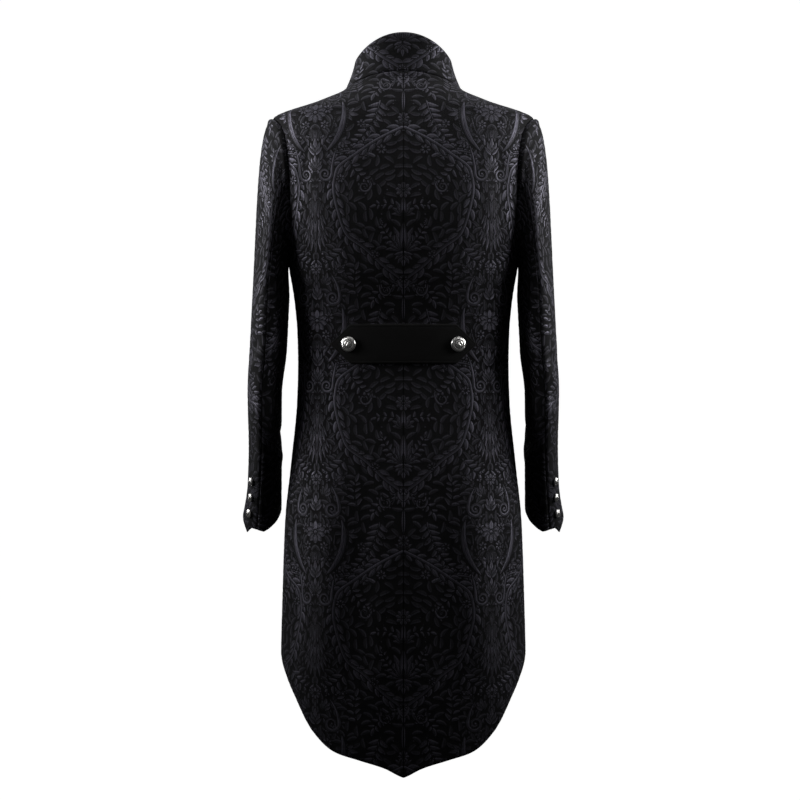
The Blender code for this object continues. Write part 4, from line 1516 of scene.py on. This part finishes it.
def build_belt():
    """The pointed velvet half belt, rounded at its edges and a little full in its middle."""
    step = settings("cloth").grid / MM * BELT_FINER
    x = BELT_HALF_LENGTH * (2 * seam_shares(2 * BELT_HALF_LENGTH, step) - 1)
    share = 2 * seam_shares(BELT_HEIGHT, step) - 1
    x, share = np.meshgrid(x, share)
    flat = belt_grid(x, share, np.zeros_like(x))
    edge = grid_edge_distance(flat)
    rounded = 1 - np.clip(edge / BELT_ROUND, 0, 1)
    drop = (BELT_WALL - BELT_EDGE) * (1 - np.sqrt(1 - rounded * rounded))
    uneven = 1 + 0.4 * np.sin(x / 31) * np.sin(x / 17 + 1)
    puff = BELT_PUFF * np.clip(edge / BELT_PUFF_REACH, 0, 1) * uneven
    below = (share * BELT_HEIGHT / 2) ** 2
    dimple = sum(
        -DIMPLE * np.exp(-(((x - at) ** 2 + below) / DIMPLE_SPREAD)) for at in (-BELT_BUTTON_X, BELT_BUTTON_X)
    )
    stitched = -STITCH_DEPTH * np.exp(-(((edge - STITCH_INSET) / STITCH_WIDTH) ** 2))
    outer = belt_grid(x, share, BELT_LIFT + BELT_WALL - drop + puff + dimple + stitched)
    inner = belt_grid(x, share, np.full_like(x, BELT_LIFT))
    u = run_along(flat, 1)
    cloth = Cloth(outer, u - u[:, -1:] / 2, flat[..., 2])
    mesh = cloth_mesh("back_belt", cloth, inner, False, ("velvet", "velvet"), False)
    declare(link("half_belt_cloth", mesh, ["back_belt"]), cloth)


# ---------------------------------------------------------------------------------------------
# Buttons
# ---------------------------------------------------------------------------------------------


BELT_BUTTON_SIZE = (12, 7.6)  # radius and height
CUFF_BUTTON_SIZE = (7, 5.2)
CUFF_BUTTON_LIFT = 0.8
BELT_PETALS, CUFF_PETALS = 8, 6
BUTTON_RINGS = 26
BUTTON_BACK = ((0.985, 0.19), (0.95, 0.08), (0.86, 0.0), (0.4, 0.0))  # shares of its radius and height


def button_mesh(name, radius, height, petals):
    """A domed button with a raised flower inside a beaded ring, its back at the origin and facing +Z."""
    sides, rings = petals * 12, BUTTON_RINGS
    share = np.linspace(0, 1, rings + 1)[1:]
    turn = np.linspace(0, 2 * np.pi, sides, endpoint=False)
    s, a = np.meshgrid(share, turn, indexing="ij")
    flower = np.clip(1 - (s / 0.5) ** 2, 0, 1) ** 0.5 * (0.45 + 0.55 * np.abs(np.cos(petals * a / 2)))
    groove = -np.exp(-(((s - 0.56) / 0.045) ** 2))
    beads = np.exp(-(((s - 0.72) / 0.07) ** 2)) * np.abs(np.sin(petals * 1.5 * a))
    lip = np.exp(-(((s - 0.9) / 0.05) ** 2))
    core = np.exp(-((s / 0.14) ** 2))
    relief = flower * 0.8 + groove * 0.7 + beads * 0.9 + lip * 0.6 + core * 0.5
    rim = height * 0.3
    dome = rim + (height - rim) * 0.86 * np.sqrt(np.clip(1 - s * s, 0, 1))
    up = dome + relief * height * 0.085
    points = [[(0, 0, dome.max() + height * 0.12)]]
    points.append(np.stack([radius * s * np.cos(a), radius * s * np.sin(a), up], -1).reshape(-1, 3))
    reliefs = [np.array([1.3]), relief.ravel()]
    for part, z in BUTTON_BACK:
        x, y = radius * part * np.cos(turn), radius * part * np.sin(turn)
        points.append(np.stack([x, y, np.full(sides, height * z)], -1))
        reliefs.append(np.full(sides, 0.2))
    points.append([(0, 0, 0)])
    reliefs.append(np.array([0.2]))
    loops = rings + len(BUTTON_BACK)
    faces = [(0, 1 + k, 1 + (k + 1) % sides) for k in range(sides)]
    for ring in range(loops - 1):
        start = 1 + ring * sides
        for k in range(sides):
            after = (k + 1) % sides
            faces.append((start + k, start + sides + k, start + sides + after, start + after))
    start, last = 1 + (loops - 1) * sides, 1 + loops * sides
    faces += [(start + k, last, start + (k + 1) % sides) for k in range(sides)]
    mesh = bpy.data.meshes.new(name)
    mesh.from_pydata((np.concatenate(points) * MM).tolist(), [], faces)
    mesh.materials.append(finish_of("silver"))
    mesh.shade_smooth()
    relief = np.concatenate(reliefs)
    store(mesh, "relief", "POINT", np.stack([relief] * 3, -1))
    return mesh


def place_button(name, node, size, petals, place, outwards):
    mesh = button_mesh(name, *size, petals)
    turned = Vector(outwards).to_track_quat("Z", "Y").to_matrix().to_4x4()
    mesh.transform(Matrix.Translation(Vector(place) * MM) @ turned)
    link(name, mesh, [node])


def build_belt_buttons():
    lift = BELT_LIFT + BELT_WALL + BELT_BUTTON_GAP
    for side, x in (("left", BELT_BUTTON_X), ("right", -BELT_BUTTON_X)):
        x = np.array([float(x)])
        place = belt_grid(x, 0, np.array([lift]))[0]
        outwards = body_normal(*belt_place(x, 0))[0]
        node = f"belt_button_{side}"
        place_button(node + "_dome", node, BELT_BUTTON_SIZE, BELT_PETALS, place, outwards)


def build_cuff_buttons():
    places = smooth_curve([-ring.z for ring in SLEEVE], range(len(SLEEVE)), [-z for z in CUFF_BUTTON_Z])
    for number, at in enumerate(places, start=1):
        turn = CUFF_BUTTON_TURN
        around = ring_body(at, turn + 0.5) - ring_body(at, turn - 0.5)
        down = ring_body(at + 0.02, turn) - ring_body(at - 0.02, turn)
        outwards = unit(np.cross(down, around))
        place = ring_body(at, turn) + outwards * CUFF_BUTTON_LIFT
        for side, flip in (("left", (1, 1, 1)), ("right", (-1, 1, 1))):
            node = f"cuff_button_{side}_{number}"
            place_button(
                node + "_dome", node, CUFF_BUTTON_SIZE, CUFF_PETALS, place * flip, outwards * flip
            )


def ring_body(place, turn):
    """A sleeve ring's point without its cuff's shaped edge."""
    return sleeve_ring(place, turn) + np.array([0, 0, 1]) * cuff_drop(place, turn)


# ---------------------------------------------------------------------------------------------
# Stage
# ---------------------------------------------------------------------------------------------

CAMERA_PLACE = (0.0053, 3.0, -0.496)
FRAME_WIDTH = 1.28  # metres that the frame takes in at the coat's middle
SENSOR = 36.0
FLOOR_Z = -1.5  # a standing wearer's floor
STAGE_RADIUS = 7.0
STAGE_CURVE = 2.0  # radius of the bend from the floor into the wall
STAGE_TOP_Z = 6.0
STAGE_SIDES = 96
WORLD_LIGHT = 0.035
LAMP_SPREAD = math.radians(72)
LAMP_AIM = (0, 0, 0.05)  # a little above the neck
SIDE_LAMP, SIDE_LAMP_SIZE = (1.8, 0.35, 0.35), (0.7, 1.0)
FILL_LAMP, FILL_LAMP_SIZE = (0, 2.8, 1.2), (1.4, 1.0)
TOP_LAMP, TOP_LAMP_SIZE = (0, 0.0, 1.5), (2.4, 1.2)


def build_stage():
    """A round floor that curves up into a wall all round, so that every side has the same background."""
    turns = np.linspace(0, np.pi / 2, 13)
    flat = STAGE_RADIUS - STAGE_CURVE
    profile = [(flat + STAGE_CURVE * math.sin(t), FLOOR_Z + STAGE_CURVE * (1 - math.cos(t))) for t in turns]
    profile.append((STAGE_RADIUS, STAGE_TOP_Z))
    around = np.linspace(0, math.tau, STAGE_SIDES, endpoint=False)
    points = [(r * math.cos(a), r * math.sin(a), z) for r, z in profile for a in around]
    faces = [tuple(range(STAGE_SIDES))]
    for ring in range(len(profile) - 1):
        for k in range(STAGE_SIDES):
            low, high = ring * STAGE_SIDES, (ring + 1) * STAGE_SIDES
            after = (k + 1) % STAGE_SIDES
            faces.append((low + k, high + k, high + after, low + after))
    mesh = bpy.data.meshes.new("stage")
    mesh.from_pydata(points, [], faces)
    mesh.materials.append(finish_of("stage"))
    mesh.shade_smooth()
    made = add_object("stage", mesh)
    made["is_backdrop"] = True
    made.visible_glossy = False
    made.visible_diffuse = False


def add_lamp(name, place, size, power):
    """A softbox that points at LAMP_AIM."""
    lamp = bpy.data.lights.new(name, "AREA")
    lamp.shape = "RECTANGLE"
    lamp.size, lamp.size_y = size
    lamp.energy = power
    lamp.spread = LAMP_SPREAD
    made = add_object(name, lamp)
    made.location = place
    made.rotation_euler = (Vector(LAMP_AIM) - Vector(place)).to_track_quat("-Z", "Y").to_euler()


def add_lamps():
    """A softbox at each side of the back and of the front, a fill behind and in front, and one overhead."""
    light = settings("light")
    for name, way in (("back", 1), ("front", -1)):
        for side, hand in (("left", 1), ("right", -1)):
            x, y, z = SIDE_LAMP
            add_lamp(f"{name} {side} softbox", (x * hand, y * way, z), SIDE_LAMP_SIZE, light.side_power)
        x, y, z = FILL_LAMP
        add_lamp(f"{name} fill", (x, y * way, z), FILL_LAMP_SIZE, light.fill_power)
    add_lamp("top softbox", TOP_LAMP, TOP_LAMP_SIZE, light.top_power)
    world = bpy.data.worlds.new("studio")
    world.use_nodes = True
    background = world.node_tree.nodes["Background"].inputs
    background["Color"].default_value = (1, 1, 1, 1)
    background["Strength"].default_value = WORLD_LIGHT
    bpy.context.scene.world = world
    bpy.context.scene.view_settings.view_transform = "Standard"


def add_camera():
    data = bpy.data.cameras.new("camera")
    data.sensor_width = SENSOR
    data.lens = SENSOR * CAMERA_PLACE[1] / FRAME_WIDTH
    made = add_object("camera", data)
    made.location = CAMERA_PLACE
    made.rotation_euler = (math.pi / 2, 0, math.pi)
    bpy.context.scene.camera = made


# ---------------------------------------------------------------------------------------------
# The add-on
# ---------------------------------------------------------------------------------------------


class TAILCOAT_OT_body(bpy.types.Operator):
    """Add the two backs and the two fronts"""

    bl_idname = "tailcoat.body"
    bl_label = "Backs and Fronts"

    def execute(self, context):
        step = settings("cloth").grid / MM
        back, front = body_panel(0, 1, step), body_panel(180, -1, step)
        for side in (1, -1):
            sewn_piece("back", side, back, 1)
            sewn_piece("front", side, front, -1)
        return {"FINISHED"}


class TAILCOAT_OT_sleeves(bpy.types.Operator):
    """Add both sleeves, each of an upper and an under sleeve"""

    bl_idname = "tailcoat.sleeves"
    bl_label = "Sleeves"

    def execute(self, context):
        step = settings("cloth").grid / MM
        upper = sleeve_panel(lambda down: FRONT_SEAM, elbow_seam, step)
        under = sleeve_panel(elbow_seam, lambda down: FRONT_SEAM + 360, step)
        for side in (1, -1):
            sewn_piece("sleeve_upper", side, upper, 1)
            sewn_piece("sleeve_under", side, under, 1)
        return {"FINISHED"}


class TAILCOAT_OT_collar(bpy.types.Operator):
    """Add the stand collar"""

    bl_idname = "tailcoat.collar"
    bl_label = "Collar"

    def execute(self, context):
        build_collar()
        return {"FINISHED"}


class TAILCOAT_OT_half_belt(bpy.types.Operator):
    """Add the velvet half belt"""

    bl_idname = "tailcoat.half_belt"
    bl_label = "Half Belt"

    def execute(self, context):
        build_belt()
        return {"FINISHED"}


class TAILCOAT_OT_buttons(bpy.types.Operator):
    """Add the half belt's and the cuffs' buttons"""

    bl_idname = "tailcoat.buttons"
    bl_label = "Buttons"

    def execute(self, context):
        build_belt_buttons()
        build_cuff_buttons()
        return {"FINISHED"}


class TAILCOAT_OT_stage(bpy.types.Operator):
    """Add the pale stage, the lamps and the camera"""

    bl_idname = "tailcoat.stage"
    bl_label = "Stage"

    def execute(self, context):
        build_stage()
        add_lamps()
        add_camera()
        return {"FINISHED"}


OPERATORS = (
    TAILCOAT_OT_body,
    TAILCOAT_OT_sleeves,
    TAILCOAT_OT_collar,
    TAILCOAT_OT_half_belt,
    TAILCOAT_OT_buttons,
    TAILCOAT_OT_stage,
)
GROUPS = {
    "cloth": TailcoatClothSettings,
    "colour": TailcoatColourSettings,
    "damask": TailcoatDamaskSettings,
    "light": TailcoatLightSettings,
}


class TAILCOAT_PT_panel(bpy.types.Panel):
    """The tailcoat's sizes, colours and pieces"""

    bl_idname = "TAILCOAT_PT_panel"
    bl_label = "Tailcoat"
    bl_space_type = "VIEW_3D"
    bl_region_type = "UI"
    bl_category = "Tailcoat"

    def draw(self, context):
        for group, cls in GROUPS.items():
            box = self.layout.box()
            box.label(text=group.capitalize())
            for name in cls.__annotations__:
                box.prop(settings(group), name)
        for operator in OPERATORS:
            self.layout.operator(operator.bl_idname)


CLASSES = (*GROUPS.values(), *OPERATORS, TAILCOAT_PT_panel)


def register():
    for cls in CLASSES:
        bpy.utils.register_class(cls)
    for group, cls in GROUPS.items():
        setattr(bpy.types.Scene, "tailcoat_" + group, PointerProperty(type=cls))


def unregister():
    for group in GROUPS:
        delattr(bpy.types.Scene, "tailcoat_" + group)
    for cls in reversed(CLASSES):
        bpy.utils.unregister_class(cls)


def main():
    register()
    for operator in OPERATORS:
        group, name = operator.bl_idname.split(".")
        getattr(getattr(bpy.ops, group), name)()
    boxes = {"cad": CAD_BOX, "visual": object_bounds()}
    {name: [[float(x) for x in corner] for corner in box] for name, box in boxes.items()}


if __name__ == "__main__":
    main()
